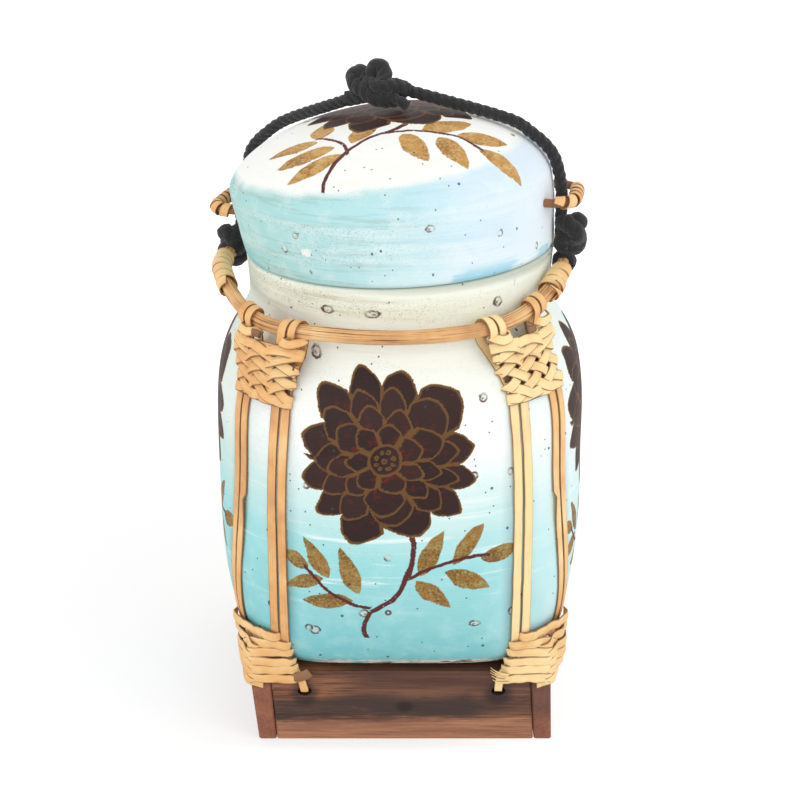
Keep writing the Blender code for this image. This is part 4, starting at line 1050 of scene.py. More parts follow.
stripPale = stripFinish("stripPale", 0.05)
stripHoney = stripFinish("stripHoney", 0.20)
stripTan = stripFinish("stripTan", 0.31)
stripBrown = stripFinish("stripBrown", 0.46)

hoop = {
    "radius": 0.0735, "shift": -0.0028, "core": 0.0030, "z": 0.1910, "liftLeft": 0.0080,
    "liftRight": 0.0135, "points": 420, "columns": 36, "canes": 5, "cornerWide": 0.32,
    "corners": ((math.radians(225), 0.0020, 0.0022), (math.radians(316), -0.0006, 0.0020)),
}


def hoopCorner(angle, part):
    # each front corner is moved out (part 1) and down (part 2) by exp(-(turn / wide)^2)
    moved = 0.0
    for corner in hoop["corners"]:
        turn = (angle - corner[0] + pi) % (2 * pi) - pi
        moved = moved + corner[part] * np.exp(-(turn / hoop["cornerWide"]) ** 2)
    return moved


def hoopHeight(angle):
    # z + lift cos^4, drawn up at both sides, less the corner's drop
    lift = np.where(np.cos(angle) > 0, hoop["liftRight"], hoop["liftLeft"])
    return hoop["z"] + lift * np.cos(angle) ** 4 - hoopCorner(angle, 2)


def hoopPoint(angle):
    # the hoop's middle line: a circle shifted to the left, at the hoop's height
    angle = np.asarray(angle, float)
    radius = hoop["radius"] + hoopCorner(angle, 1)
    return np.stack([hoop["shift"] + radius * np.cos(angle), radius * np.sin(angle),
                     hoopHeight(angle)], axis=-1)


def hoopFrame(angle):
    # outward and upward directions square to the hoop
    angle = np.asarray(angle, float)
    forward = unit(hoopPoint(angle + 0.01) - hoopPoint(angle - 0.01))
    radial = np.stack([np.cos(angle), np.sin(angle), np.zeros_like(angle)], axis=-1)
    upward = unit(np.cross(radial, forward))
    return unit(np.cross(forward, upward)), upward


def hoopReach(angle):
    # from the basket's axis to the shifted circle: s cos + sqrt(r^2 - (s sin)^2), and corners
    return (hoop["shift"] * np.cos(angle) + hoopCorner(angle, 1)
            + np.sqrt(hoop["radius"] ** 2 - (hoop["shift"] * np.sin(angle)) ** 2))


def hoopPatch():
    # a bundle of thin canes: radius = core min(0.84 + 0.18 |cos 2.5 (phi - sin(2 turn) / 2)|
    # + wander, 1.04)
    turn = np.linspace(0, 2 * pi, hoop["points"], endpoint=False)
    path = hoopPoint(turn)
    out, up = hoopFrame(turn)
    phi = np.linspace(0, 2 * pi, hoop["columns"], endpoint=False) + pi
    lean = 0.5 * np.sin(turn * 2)[:, None]
    groove = 0.84 + 0.18 * np.abs(np.cos(hoop["canes"] / 2 * (phi[None] - lean)))
    groove = groove + 0.02 * ripple(turn[:, None] * 8 + phi[None] * 2, 12)
    reach = hoop["core"] * np.minimum(groove, 1.04)
    points = (path[:, None] + reach[..., None] * (np.cos(phi)[None, :, None] * out[:, None]
                                                  + np.sin(phi)[None, :, None] * up[:, None]))
    length = along(np.vstack([path, path[:1]]))
    u, v = np.meshgrid(length, np.linspace(0, 1, hoop["columns"] + 1), indexing="ij")
    return patch(points[:, ::-1], np.stack([u, v], axis=-1), closedRows=True)


def caneFinish(name, tone):
    # bare cane: long grooves with dark lines, browner than the strips
    f = Finish(name, Roughness=0.5)
    place, spots = f.place(), f.surfaceMap()
    run, across = spots.part(0), spots.part(1)
    lines = f.noise(f.vector(run * 22.0, across * 26.0, 0.0), 1.0, 4.0, 0.7)
    broad = f.noise(place, 60.0, 3.0, 0.6)
    colour = f.ramp(broad * 0.55 + lines * 0.55 + tone - 0.09, (
        (0.22, rattan["canePale"]), (0.48, rattan["cane"]), (0.72, rattan["caneBrown"]),
        (0.95, rattan["caneDark"])))
    colour = f.blend(lines.rise(0.54, 0.64) * 0.88, colour, rattan["groove"])
    normal = f.relief(lines * -1.0, 0.00035, 0.8)
    return f.done(Base_Color=colour, Roughness=0.45 + lines * 0.25, Normal=normal)


hoopCane = caneFinish("hoopCane", 0.02)
loopCane = caneFinish("loopCane", 0.30)
addPiece("caneHoop", [hoopPatch()], hoopCane, "basket", ["shoulder_hoop"])

strap = {
    "touch": 0.0003, "width": 0.0037, "thick": 0.0009, "bow": 0.00022, "space": 0.0043,
    "spread": 0.0507, "gather": 0.0075, "gatherZ": 0.1048, "lashFront": math.radians(32),
    "lashSide": math.radians(38), "lashMore": math.radians(2.0), "lashZ": 0.1588,
    "foot": 0.0080, "footHalf": 0.0650, "footHigh": 0.0345, "lean": 0.10, "rack": 0.0023,
    "holeX": 0.0420, "holeZ": 0.0248, "holeHigh": 0.0046, "boardSide": 0.0086, "legRows": 90,
    "turnRows": 30, "tailRows": 26,
}


def ringRadius(core, thick):
    # middle of a strip wound round a bar
    return (core + 2 * strap["touch"]) / math.cos(pi / 12) + thick / 2


def pairOffset(z):
    # a pair of strips from the face's middle: spread - gather p^2, p from the belly to the hoop
    share = np.maximum(z - strap["gatherZ"], 0) / (hoop["z"] - strap["gatherZ"])
    return strap["spread"] - strap["gather"] * share ** 2


def lashAngle(quarter, hand):
    # where a strap's lashing is: a set angle to one hand of its face's middle
    spread = strap["lashFront"] if quarter % 2 == 0 else strap["lashSide"]
    spread = spread + (strap["lashMore"] if (quarter, hand) == (3, 1) else 0.0)
    return -pi / 2 + hand * spread + quarter * pi / 2


def lashPoint(quarter, hand, shift, turn, lift=0.0):
    # on the hoop: shift metres towards the corner, turned from outside over the top
    angle = lashAngle(quarter, hand) + hand * shift / hoop["radius"]
    out, up = hoopFrame(angle)
    ring = ringRadius(hoop["core"], strap["thick"]) + lift
    turn = np.asarray(turn, float)[..., None]
    return hoopPoint(angle) + ring * (np.cos(turn) * out + np.sin(turn) * up)


def leaningLine(angle, z, beyond):
    # the radius of a line that leans from the hoop's outside in towards the body below
    return hoopReach(angle) + beyond - (hoopHeight(angle) - z) * strap["lean"]


def crowded(share):
    # share - 0.09 sin(2 pi share): rows closer together at both ends
    return share - 0.09 * np.sin(2 * pi * share)


def legEdge(quarter, hand, side, target, beyond):
    # up the body from the foot's face, then off the shoulder to the hoop
    lift = strap["touch"] + strap["thick"] / 2
    face = strap["footHalf"] + lift
    finish = math.atan2(target[1], target[0])
    low = body["seatZ"] + strap["foot"]
    z = low + (target[2] - low) * crowded(np.arange(strap["legRows"]) / strap["legRows"])
    offset = pairOffset(z) + side
    place = quarterTurn(np.stack([hand * offset, -faceDepth(offset, z), z], axis=1), quarter)
    angle = np.arctan2(place[:, 1], place[:, 0])
    gap = (finish - angle + pi) % (2 * pi) - pi
    angle = angle + gap * smooth((z - strap["lashZ"]) / (target[2] - strap["lashZ"]))
    point = bodyPoint(angle, z, lift)
    local = quarterTurn(point, -quarter)
    local[:, 1] = -softMax(-local[:, 1], face, strap["touch"])
    low = quarterTurn(local, quarter)
    radius = np.hypot(point[:, 0], point[:, 1])
    wide = softMax(radius, leaningLine(angle, point[:, 2], beyond), strap["touch"])
    high = point * np.stack([wide / radius, wide / radius, np.ones(len(z))], axis=1)
    return np.where((z < body["bellyZ"])[:, None], low, high)


def tailEdge(quarter, hand, start, shift):
    # down the foot's face and into its hole
    lift = strap["touch"] + strap["thick"] / 2
    face, hole = strap["footHalf"], strap["holeZ"]
    first = quarterTurn(start, -quarter)
    side = hand * strap["holeX"] + shift
    chosen = [first, (first[0] * 0.25 + side * 0.75, -face - lift, (first[2] + hole) / 2),
              (side, -face - lift, hole + strap["holeHigh"] * 0.45), (side, -face + lift, hole),
              (side, -face + strap["boardSide"] / 2, hole)]
    tail = quarterTurn(resample(np.array(chosen), strap["tailRows"]), quarter)
    tail[:, 0] += strap["rack"] * (1 - np.minimum(tail[:, 2], strap["footHigh"]) / strap["footHigh"])
    return tail


def strapPatch(quarter, hand, seed):
    # up the leg by the corner, one and a half turns round the hoop, down the second leg
    spread = 0.75 * strap["space"]
    ring = ringRadius(hoop["core"], strap["thick"])
    share = np.linspace(0, 1, int(1.5 * strap["turnRows"]) + 1)
    lines = []
    for edge in (strap["width"] / 2, -strap["width"] / 2):
        first = lashPoint(quarter, hand, spread + edge, 0.0)
        last = lashPoint(quarter, hand, edge - spread, 3 * pi)
        up = legEdge(quarter, hand, strap["space"] / 2 + edge, first, ring)
        over = lashPoint(quarter, hand, spread * (1 - 2 * share) + edge, 3 * pi * share)
        down = legEdge(quarter, hand, edge - strap["space"] / 2, last, -ring)[::-1]
        tail = tailEdge(quarter, hand, down[-1], hand * edge)
        lines.append(np.vstack([up, over, down, tail[1:]]))
    edges = np.stack(lines, axis=1)
    # width wanders a little, as a hand-split strip's does
    middle = edges.mean(axis=1, keepdims=True)
    length = along(middle[:, 0])
    waver = 1 + 0.05 * ripple(length * 60, seed) + 0.03 * ripple(length * 220, seed + 50)
    edges = middle + (edges - middle) * np.minimum(waver, 1.04)[:, None, None]
    return ribbon(edges, strap["thick"], strap["bow"], roll=seed * 0.37)


sides = ("front", "right", "back", "left")
# brown by the front-left corner and pale on the front's right strip: partly the strips' own tones and
# partly painted shade and light, the left being turned from the light
tones = (stripBrown, stripPale, stripTan, stripPale, stripBrown, stripTan, stripPale, stripBrown)
for quarter, side in enumerate(sides):
    for hand, other in ((-1, sides[quarter - 1]), (1, sides[(quarter + 1) % 4])):
        seed = quarter * 2 + (hand + 1) // 2
        addPiece(f"strap{side.title()}By{other.title()}", [strapPatch(quarter, hand, seed)],
                 tones[seed], "basket", [f"strap_{side}_by_{other}"])
print("hoop and straps made")


# plaits at the corners: bands that cross over and under

plait = {
    "gap": 0.0006, "thick": 0.0008, "width": 0.0045, "bow": 0.00026, "upperLow": 0.1588,
    "upperHigh": 0.1852, "slope": 0.50, "pitch": 0.0061, "wave": 0.00052, "rows": 60,
    "half": 0.0173, "topFront": math.radians(16.0),
    "topSide": {"left": math.radians(12.0), "right": math.radians(13.6)},
    "drop": {"left": 0.0016, "right": 0.0},
    "lowHigh": 0.0215, "lowFull": 0.0120, "draw": 0.10, "near": 0.84, "round": 0.04,
    "lowRows": 6, "lowest": 0.0329, "highest": 0.0542, "bulge": {"left": 0.0018, "right": 0.0034},
    "shadeSheetWidth": 0.0047, "shadeSheetDark": 2.6, "lowShadeSheetWidth": 0.0048, "lowShadeSheetDark": 1.6,
    "stubZ": 0.1868, "stubWidth": 0.0030, "stubShade": 1.9, "cutWidth": 0.0042, "cutShade": 1.35,
    "collarShift": 0.0012, "collarHalf": 0.0048, "collarDrop": 0.0052, "collarWidth": 0.0040,
    "fibres": 5, "fibreStep": 0.0009, "fibreWidth": 0.0010,
}


def plaitSide(z):
    # from a face's middle to the outer edge of the strip beside the corner
    return pairOffset(z) - (strap["space"] + strap["width"]) / 2 - 0.0002


def plaitHalf(z):
    # half the plait's angle, from the corner to the strips' edge on the body
    side = plaitSide(z)
    return pi / 4 - np.arctan2(side, faceDepth(side, z))


def upperAngle(z, share, way, hand):
    # at the top the plait follows the lashings: further round on the front and back
    reach = smooth((z - plait["upperLow"]) / (plait["upperHigh"] - plait["upperLow"]))
    edge = plaitHalf(z)
    front, side = plait["topFront"], plait["topSide"][hand]
    wide = np.where(share * way > 0, edge + (front - edge) * reach, edge + (side - edge) * reach)
    return wide * share


def lowerHalf(z):
    # the same half angle, measured on the foot where that stands out further than the body
    side = plaitSide(z)
    depth = np.maximum(faceDepth(side, np.maximum(z, body["seatZ"])), strap["footHalf"])
    return pi / 4 - np.arctan2(side, depth)


def upperSkin(angle, z, out):
    # over the straps and out to the hoop
    lift = strap["touch"] + strap["thick"] + plait["gap"] + out
    point = bodyPoint(angle, z, lift)
    radius = np.hypot(point[..., 0], point[..., 1])
    beyond = ringRadius(hoop["core"], strap["thick"]) + strap["thick"] / 2 + plait["gap"] + out
    wide = softMax(radius, leaningLine(angle, z, beyond), strap["touch"]) / radius
    return point * np.stack([wide, wide, np.ones_like(wide)], axis=-1)


def lowerSkin(angle, z, out):
    # from the body out to the foot's corner
    lift = strap["touch"] + strap["thick"] + plait["gap"] + out
    point = bodyPoint(angle, np.maximum(z, body["seatZ"]), lift)
    point[..., 2] = z
    radius = np.hypot(point[..., 0], point[..., 1])
    pair = np.sort(np.abs(np.stack([np.cos(angle), np.sin(angle)])), axis=0)
    less, more = pair[0], pair[1]
    drawn = smooth((z - body["seatZ"] - plait["lowFull"]) / (plait["lowHigh"] - plait["lowFull"]))
    drawn = drawn * smooth((less / more - plait["near"]) / (1 - plait["near"]))
    face = (strap["footHalf"] + lift) * (1 - plait["draw"] * drawn)
    square = face / softMax(less, more, plait["round"])
    wide = softMax(radius, square, strap["touch"]) / radius
    return point * np.stack([wide, wide, np.ones_like(wide)], axis=-1)


def bowed(section, lift):
    # the middle of a strip stands a little over its edges
    section = section.copy()
    half = np.abs(section[:, 1]).max()
    section[:, 0] += lift * (1 - (section[:, 1] / half) ** 2)
    return section


def band(skin, angle, heights, out, width, thick, seed, shade=0.0, point=0.0):
    # one strip laid on a skin along a line of angles and heights; shade darkens it and
    # point narrows its far end
    path = skin(angle, heights, out)
    outward = unit(skin(angle, heights, out + 0.001) - path)
    tangents, normals = directions(path, outward)
    share = np.linspace(0, 1, len(path))
    widths = 1 + 0.05 * ripple(along(path) * 150, seed) - point * smooth((share - 0.5) / 0.5)
    section = bowed(stripSection(width, thick, 12), plait["bow"])
    made = carry(path, tangents, normals, section, widths)
    for key in ("quadSpots", "triangleSpots"):
        made[key] = made[key] * [1.0, 0.2 if shade else 1.0] + [seed * 0.31, shade]
    return made


def edgeCurl(share):
    # a band rolls in over the outer strip at both ends
    return -0.0022 * smooth((np.abs(share) - 0.90) / 0.10)


def upperPlait(middle, seed, way, hand, lashings):
    # two families of bands cross: z = middle + k pitch -+ slope s; a band lies over the other
    # family by wave sin(2 pi slope s / pitch), and held within the plait's top and bottom
    patches = []
    share = np.linspace(-1, 1, plait["rows"])
    run = plait["half"] * share
    low = plait["upperLow"] + plait["width"] / 2 - plait["drop"][hand]
    high = plait["upperHigh"] - plait["width"] / 2 - plait["drop"][hand]
    crossing = 2 * plait["slope"] * run / plait["pitch"]
    wave = -np.sin(pi * np.clip(crossing, -2.5, 2.5))
    for family, lean in enumerate((1, -1)):
        for number in range(-4, 5):
            z = ((low + high) / 2 + (number + 0.25 * lean) * plait["pitch"]
                 + lean * plait["slope"] * run)
            inside = (z > low - 0.0006) & (z < high + 0.0006)
            if inside.mean() < 0.28:
                continue
            held = -softMax(-softMax(z, low, 0.0012), -high, 0.0012)
            tuck = 0.0007 * smooth(np.abs(z - held) / 0.0024)
            held = held + 0.00030 * ripple(share * 2, seed + 11 * number + 31 * family)
            out = 0.00115 + lean * plait["wave"] * wave + edgeCurl(share) - tuck
            angle = middle + upperAngle(held, share, way, hand)
            patches.append(band(upperSkin, angle, held, out, plait["width"], plait["thick"],
                                seed + number + 5 * family))
    # a dark sheet behind the crossings as painted shade, and a cut end in the notch under the hoop
    inner = np.linspace(-0.93, 0.93, 30)
    for number, level in enumerate(np.linspace(low, high - 0.0008, 6)):
        angle = middle + upperAngle(level, inner, way, hand)
        patches.append(band(upperSkin, angle, level + 0 * inner, 0 * inner - 0.0001,
                            plait["shadeSheetWidth"], 0.0004, seed + number, plait["shadeSheetDark"]))
    stub = np.linspace(-0.26, 0.22, 10)
    patches.append(band(upperSkin, middle + plaitHalf(0.186) * stub, plait["stubZ"] + 0 * stub,
                        0 * stub - 0.0002, plait["stubWidth"], 0.0016, seed, plait["stubShade"]))
    # a collar hugs the strips under each lashing
    span = np.linspace(-1, 1, 26)
    for lashing in lashings:
        near = np.sign((middle - lashing + pi) % (2 * pi) - pi) * plait["collarShift"]
        angle = lashing + (near + span * plait["collarHalf"]) / hoop["radius"]
        z = hoopHeight(angle) - plait["collarDrop"] + 0.0028 * span ** 2
        out = 0.0011 - 0.0050 * smooth((np.abs(span) - 0.50) / 0.50)
        patches.append(band(upperSkin, angle, z, out, plait["collarWidth"], 0.0009, seed + 40))
    return patches


def lowerPlait(middle, seed, way, bulge, loose):
    # level rows over both faces; t runs from -1 on the side face to 1 on the front or back;
    # near the corner the two sets bend down half a row and pass under one another
    patches = []
    rows = plait["lowRows"]
    levels = np.linspace(plait["lowest"], plait["highest"], rows)
    step = levels[1] - levels[0]
    for row, level in enumerate(levels):
        last = 0.74 if row == rows - 1 else 1.0 + 0.24 * (1 - row / (rows - 2))
        for near, far, side in ((-1.0, 0.36, 1), (last, -0.30, -1)):
            t = np.linspace(near, far, 44)
            z = level - 0.8 * step * smooth((side * t + 0.15) / 0.50)
            z = z + 0.00028 * ripple(t * 2.5, seed + row * 7 + side) + 0.0004 * math.sin(row * 2.3) * t
            z = z - 0.0006 * smooth((t - 0.9) / 0.3)
            under = smooth((side * t - (0.05 if side > 0 else -0.12)) / 0.25)
            edge = smooth((np.abs(t - near) * -1 + 0.10) / 0.10)
            swell = bulge * smooth((-t - 0.15) / 0.5) * np.sin(pi * np.clip((z - 0.030) / 0.028, 0, 1))
            out = 0.00095 - 0.0009 * under - 0.0020 * edge + swell
            out = out + 0.00015 * ripple(t * 4, seed + 90 + row)
            angle = middle + way * lowerHalf(z) * t
            patches.append(band(lowerSkin, angle, z, out, step + 0.0003, plait["thick"],
                                seed + row + 20 * side))
    # a dark sheet behind the rows as painted shade
    inner = np.linspace(-0.9, 0.7, 30)
    swell = bulge * 0.6 * smooth((-inner - 0.15) / 0.5)
    for number, level in enumerate(levels[:-1]):
        angle = middle + way * lowerHalf(level) * inner
        patches.append(band(lowerSkin, angle, level + 0.002 + 0 * inner, swell - 0.0001,
                            plait["lowShadeSheetWidth"], 0.0004, seed + number,
                            plait["lowShadeSheetDark"]))
    if loose:
        # the last row's cut end stands off the foot, whole or split into fibres
        t = np.linspace(1.10, 1.62, 18)
        z = levels[0] + 0.0004 + 0.0034 * ((t - 1.10) / 0.5) ** 2
        angle = middle + way * lowerHalf(0.036) * t
        out = 0.0006 + 0.0018 * smooth((t - 1.1) / 0.5)
        if loose == "cut":
            patches.append(band(lowerSkin, angle, z, out, plait["cutWidth"], 0.0011, seed,
                                plait["cutShade"]))
        else:
            for number in range(plait["fibres"]):
                drift = (number - plait["fibres"] // 2) * plait["fibreStep"]
                patches.append(band(lowerSkin, angle, z + drift * (1 + 1.4 * (t - 1.10)),
                                    out + abs(drift) * 0.5, plait["fibreWidth"], 0.0004,
                                    seed + number, point=0.75))
    return patches


for index, (corner, lashings, way, loose) in enumerate((
        ("front_right", ((0, 1), (1, -1)), -1, "frayed"), ("back_right", ((1, 1), (2, -1)), 1, ""),
        ("back_left", ((2, 1), (3, -1)), -1, "cut"), ("front_left", ((3, 1), (0, -1)), 1, "cut"))):
    middle = -pi / 4 + index * pi / 2
    title = corner.title().replace("_", "")
    hand = corner.split("_")[1]
    # plaits on the left take tan, those on the right the pale tones: partly their own tones and partly
    # painted shade on the left, which is turned from the light
    finish, lowFinish = (stripPale, stripHoney) if hand == "right" else (stripTan, stripTan)
    turns = [lashAngle(*lashing) for lashing in lashings]
    addPiece(f"upperPlait{title}", upperPlait(middle, 100 + index * 17, way, hand, turns), finish,
             "basket", [f"upper_plait_{corner}"])
    lower = lowerPlait(middle, 300 + index * 17, way, plait["bulge"][hand], loose)
    addPiece(f"lowerPlait{title}", lower, lowFinish, "basket",
             [f"lower_plait_{corner}"])
print("plaits made")


# windings beside the knots, and the lid's loops

winding = {
    "thick": 0.0008, "bow": 0.00022, "start": math.radians(6.2), "slack": 0.0005,
    "tipWidth": 0.0042,
    "right": {"knot": math.radians(-10.5), "way": -1, "turns": 2.9, "pitch": 0.0048,
              "width": 0.0056, "first": 0.0020, "tips": (0.5, 0.8)},
    "left": {"knot": math.radians(164), "way": 1, "turns": 5.2, "pitch": 0.0062,
             "width": 0.0066, "first": 0.0080, "tips": ()},
}


def windPatch(bar, first, turns, pitch, core, width, thick, seed, slack):
    # a flat strip wound as one helix: middle + ring (cos 2 pi t out + sin 2 pi t up)
    t = np.linspace(0, turns, int(turns * 44) + 1)
    ring = core * 1.04 + 0.0002 + thick / 2 + slack * (0.5 + 0.5 * ripple(t * 3, seed))
    lines = []
    for edge in (-width / 2, width / 2):
        where = first + pitch * t + edge * (1 + 0.10 * ripple(t * 2.2, seed + 3))
        middle, out, up = bar(where)
        turn = (2 * pi * t)[:, None]
        lines.append(middle + np.reshape(ring, (-1, 1)) * (np.cos(turn) * out + np.sin(turn) * up))
    return ribbon(np.stack(lines, axis=1), thick, winding["bow"], roll=seed * 0.11)


def looseTip(bar, where):
    # the strip's cut end springs out past the last turn and narrows to a point
    share = np.linspace(0, 1, 16)
    middle, out, up = bar(where + 0.0060 * share)
    turn = (-1.2 + 2.2 * share)[:, None]
    ring = (ringRadius(hoop["core"], winding["thick"]) + 0.0006 + 0.0016 * share ** 2)[:, None]
    path = middle + ring * (np.cos(turn) * out + np.sin(turn) * up)
    tangents, normals = directions(path, path - middle)
    widths = 1 - 0.85 * smooth((share - 0.25) / 0.75)
    section = stripSection(winding["tipWidth"], winding["thick"], 12)
    return carry(path, tangents, normals, section, widths)


for name in ("Right", "Left"):
    turned = winding[name.lower()]

    def hoopBar(where, turned=turned):
        # a place on the hoop, measured from the knot
        angle = turned["knot"] + turned["way"] * (winding["start"] + where / hoop["radius"])
        return hoopPoint(angle), *hoopFrame(angle)
    made = windPatch(hoopBar, turned["first"], turned["turns"], turned["pitch"], hoop["core"],
                     turned["width"], winding["thick"], 21 + turned["way"], winding["slack"])
    tips = [looseTip(hoopBar, turned["first"] + turned["turns"] * turned["pitch"] * share)
            for share in turned["tips"]]
    addPiece(f"hoopWinding{name}", [made] + tips, stripTan, "basket",
             [f"hoop_winding_{name.lower()}"])

loop = {
    "core": 0.0018, "half": 0.0150, "corner": 0.0080, "thick": 0.0008, "width": 0.0036,
    "pitch": 0.0050, "slack": 0.0004, "rows": 90,
    "left": {"reach": 0.0100, "turn": math.radians(165.0), "rise": 0.0160, "first": 0.0130,
             "turns": 6.4, "winding": stripBrown},
    "right": {"reach": 0.0098, "turn": math.radians(-10.5), "rise": 0.0205, "first": 0.0066,
              "turns": 5.6, "winding": stripTan},
}


def lidWallPoint(turn, rise, out=0.0):
    # a point of the lid's outside, moved level outward
    rise = np.asarray(rise, float)
    return lidPoint(lidSurface(rise), turn, rise) + np.multiply.outer(out, heading(turn))


def loopBar(which, where):
    # out of the wall, round a corner, straight across, round a corner and back in
    axis = heading(which["turn"])
    across = np.cross([0, 0, 1], axis)
    base = lidWallPoint(which["turn"], which["rise"])
    corner, reach = loop["corner"], which["reach"]
    straight = reach - corner + lid["wall"]
    arc = corner * pi / 2
    half = straight + arc + loop["half"] - corner
    where = np.asarray(where, float)
    hand = np.where(where < half, -1.0, 1.0)
    rest = np.where(where < half, where, 2 * half - where)
    turn = np.clip((rest - straight) / corner, 0, pi / 2)
    forward = np.where(rest < straight, rest - lid["wall"], reach - corner + corner * np.sin(turn))
    side = np.where(rest < straight + arc, loop["half"] - corner + corner * np.cos(turn), half - rest)
    side = np.where(rest < straight, loop["half"], side)
    point = base + forward[..., None] * axis + (hand * side)[..., None] * across
    out = (hand * np.cos(turn))[..., None] * across + np.sin(turn)[..., None] * axis
    return point, out, np.array([0.0, 0.0, 1.0]), 2 * half


for name in ("Left", "Right"):
    which = loop[name.lower()]

    def bar(where, which=which):
        # a place on the loop, measured from its one end
        return loopBar(which, where)[:3]
    total = loopBar(which, 0.0)[3]
    route, out, _ = bar(np.linspace(0, total, loop["rows"]))
    route[:, 2] += 0.00025 * ripple(np.linspace(0, 4, loop["rows"]), 41)
    tangents, normals = directions(route, out)
    phi = np.linspace(0, 2 * pi, 20, endpoint=False)
    section = np.stack([np.cos(phi), np.sin(phi)], axis=1) * loop["core"]
    addPiece(f"lidLoop{name}", [carry(route, tangents, normals, section)], loopCane, "lid",
             [f"lid_loop_{name.lower()}"])
    made = windPatch(bar, which["first"], which["turns"], loop["pitch"], loop["core"],
                     loop["width"], loop["thick"], 61, loop["slack"])
    addPiece(f"loopWinding{name}", [made], which["winding"], "lid",
             [f"lid_loop_winding_{name.lower()}"])
print("windings and loops made")


# black cotton cord

cord = {
    "radius": 0.0026, "clear": 0.0011, "lay": 0.0108, "straight": 0.0040, "rows": 420,
    "knotRope": 0.0039, "knotWide": 0.0070, "knotDeep": 0.0068, "bandRope": 0.0015,
    "bandRing": 0.0037, "bandTurn": 0.030, "topRope": 0.0034, "stubRope": 0.0023,
    "left": {"turn": math.radians(162.0), "half": 0.0108, "raise": 0.0036, "out": -0.0002,
             "low": 0.0, "back": math.radians(-9.0), "end": (-0.0165, 0.0042), "seed": 3},
    "right": {"turn": math.radians(-10.5), "half": 0.0105, "raise": 0.0128, "out": 0.0022,
              "low": 0.0005, "back": 0.0, "end": (0.0060, 0.0088), "seed": 4},
    "dark": paint(14, 14, 16), "black": paint(34, 33, 36), "worn": paint(70, 68, 72),
    "lint": paint(120, 116, 116),
}
upright = np.array([0.0, 0.0, 1.0])


def cordFinish():
    # soft black cotton: fine threads laid along the strands, a little lint
    f = Finish("blackCotton", Roughness=0.92, Sheen_Weight=0.25)
    place, spots = f.place(), f.surfaceMap()
    threads = f.noise(f.vector(spots.part(0) * 260.0, spots.part(1) * 30.0, 0.0), 1.0, 4.0, 0.7)
    fuzz = f.noise(place, 900.0, 3.0, 0.7)
    lint = f.noise(place, 300.0, 3.0, 0.7)
    colour = f.ramp(threads * 0.6 + fuzz * 0.4, (
        (0.30, cord["dark"]), (0.55, cord["black"]), (0.80, cord["worn"])))
    colour = f.blend(lint.rise(0.70, 0.76) * 0.5, colour, cord["lint"])
    normal = f.relief(threads + fuzz, 0.00045, 0.9)
    return f.done(Base_Color=colour, Roughness=0.85 + fuzz * 0.12, Normal=normal)


blackCord = cordFinish()


def ropePatch(path, radius, seed=0, phase=0.0, columns=30, depth=0.17):
    # three strands laid together: with d the angle from the nearest strand,
    # r = R (1 - depth (2 - 2 cos d)), turning once in every lay
    tangents, normals = turningFrame(path)
    length = along(path)
    phi = np.linspace(0, 2 * pi, columns, endpoint=False)
    twist = 2 * pi * length / cord["lay"] + phase
    delta = (phi[None] - twist[:, None]) % (2 * pi / 3) - pi / 3
    reach = radius * (1 - depth * (2 - 2 * np.cos(delta)))
    reach = reach * (1 + 0.040 * ripple(length[:, None] * 260 + phi[None] * 2, seed)
                     + 0.030 * ripple(length[:, None] * 900 + phi[None] * 5, seed + 1))
    sides = np.cross(tangents, normals)
    points = path[:, None] + reach[..., None] * (np.cos(phi)[None, :, None] * normals[:, None]
                                                 + np.sin(phi)[None, :, None] * sides[:, None])
    around = np.linspace(0, 2 * pi, columns + 1)
    u = np.broadcast_to(length[:, None], (len(path), columns + 1))
    v = (around[None] - twist[:, None]) / (2 * pi)
    return patch(points, np.stack([u, v], axis=-1))


def sideCord(side):
    # where one side's cord starts beside its loop, and the middle of its knot on the hoop
    which, ring, knot = cord[side], loop[side], winding[side]["knot"]
    start = lidWallPoint(which["turn"], ring["rise"], cord["radius"] + cord["clear"])
    start[2] = (lidWallPoint(ring["turn"], ring["rise"])[2]
                - ringRadius(loop["core"], loop["thick"]) - loop["thick"])
    centre = hoopPoint(knot) + which["out"] * heading(knot)
    centre[2] += which["raise"]
    return start, centre


def knotRope(side):
    # a tight overhand knot: x = (sin t + 2 sin 2t) / 3, y = (cos t - 2 cos 2t) / 3, z = -sin 3t
    centre = sideCord(side)[1]
    out = heading(winding[side]["knot"])
    across = np.cross(upright, out)
    t = np.linspace(0.35, 2 * pi + 0.35, 150)
    thick = cord["knotRope"]
    flat = (np.sin(t) + 2 * np.sin(2 * t)) / 3
    tall = (np.cos(t) - 2 * np.cos(2 * t)) / 3
    deep = -np.sin(3 * t)
    path = (centre + flat[:, None] * (cord["knotDeep"] - thick) * across
            + tall[:, None] * (cord[side]["half"] - thick) * upright
            + deep[:, None] * (cord["knotWide"] - thick) * out)
    return ropePatch(path, thick, seed=cord[side]["seed"], depth=0.10)


def hoopBand(side):
    # two turns of the cord round the hoop under its knot
    t = np.linspace(0, 2, 90)
    angle = winding[side]["knot"] + (t - 1) * cord["bandTurn"]
    out, up = hoopFrame(angle)
    turn = (2 * pi * t)[:, None]
    path = hoopPoint(angle) + cord["bandRing"] * (np.cos(turn) * out + np.sin(turn) * up)
    return ropePatch(path, cord["bandRope"], seed=8)


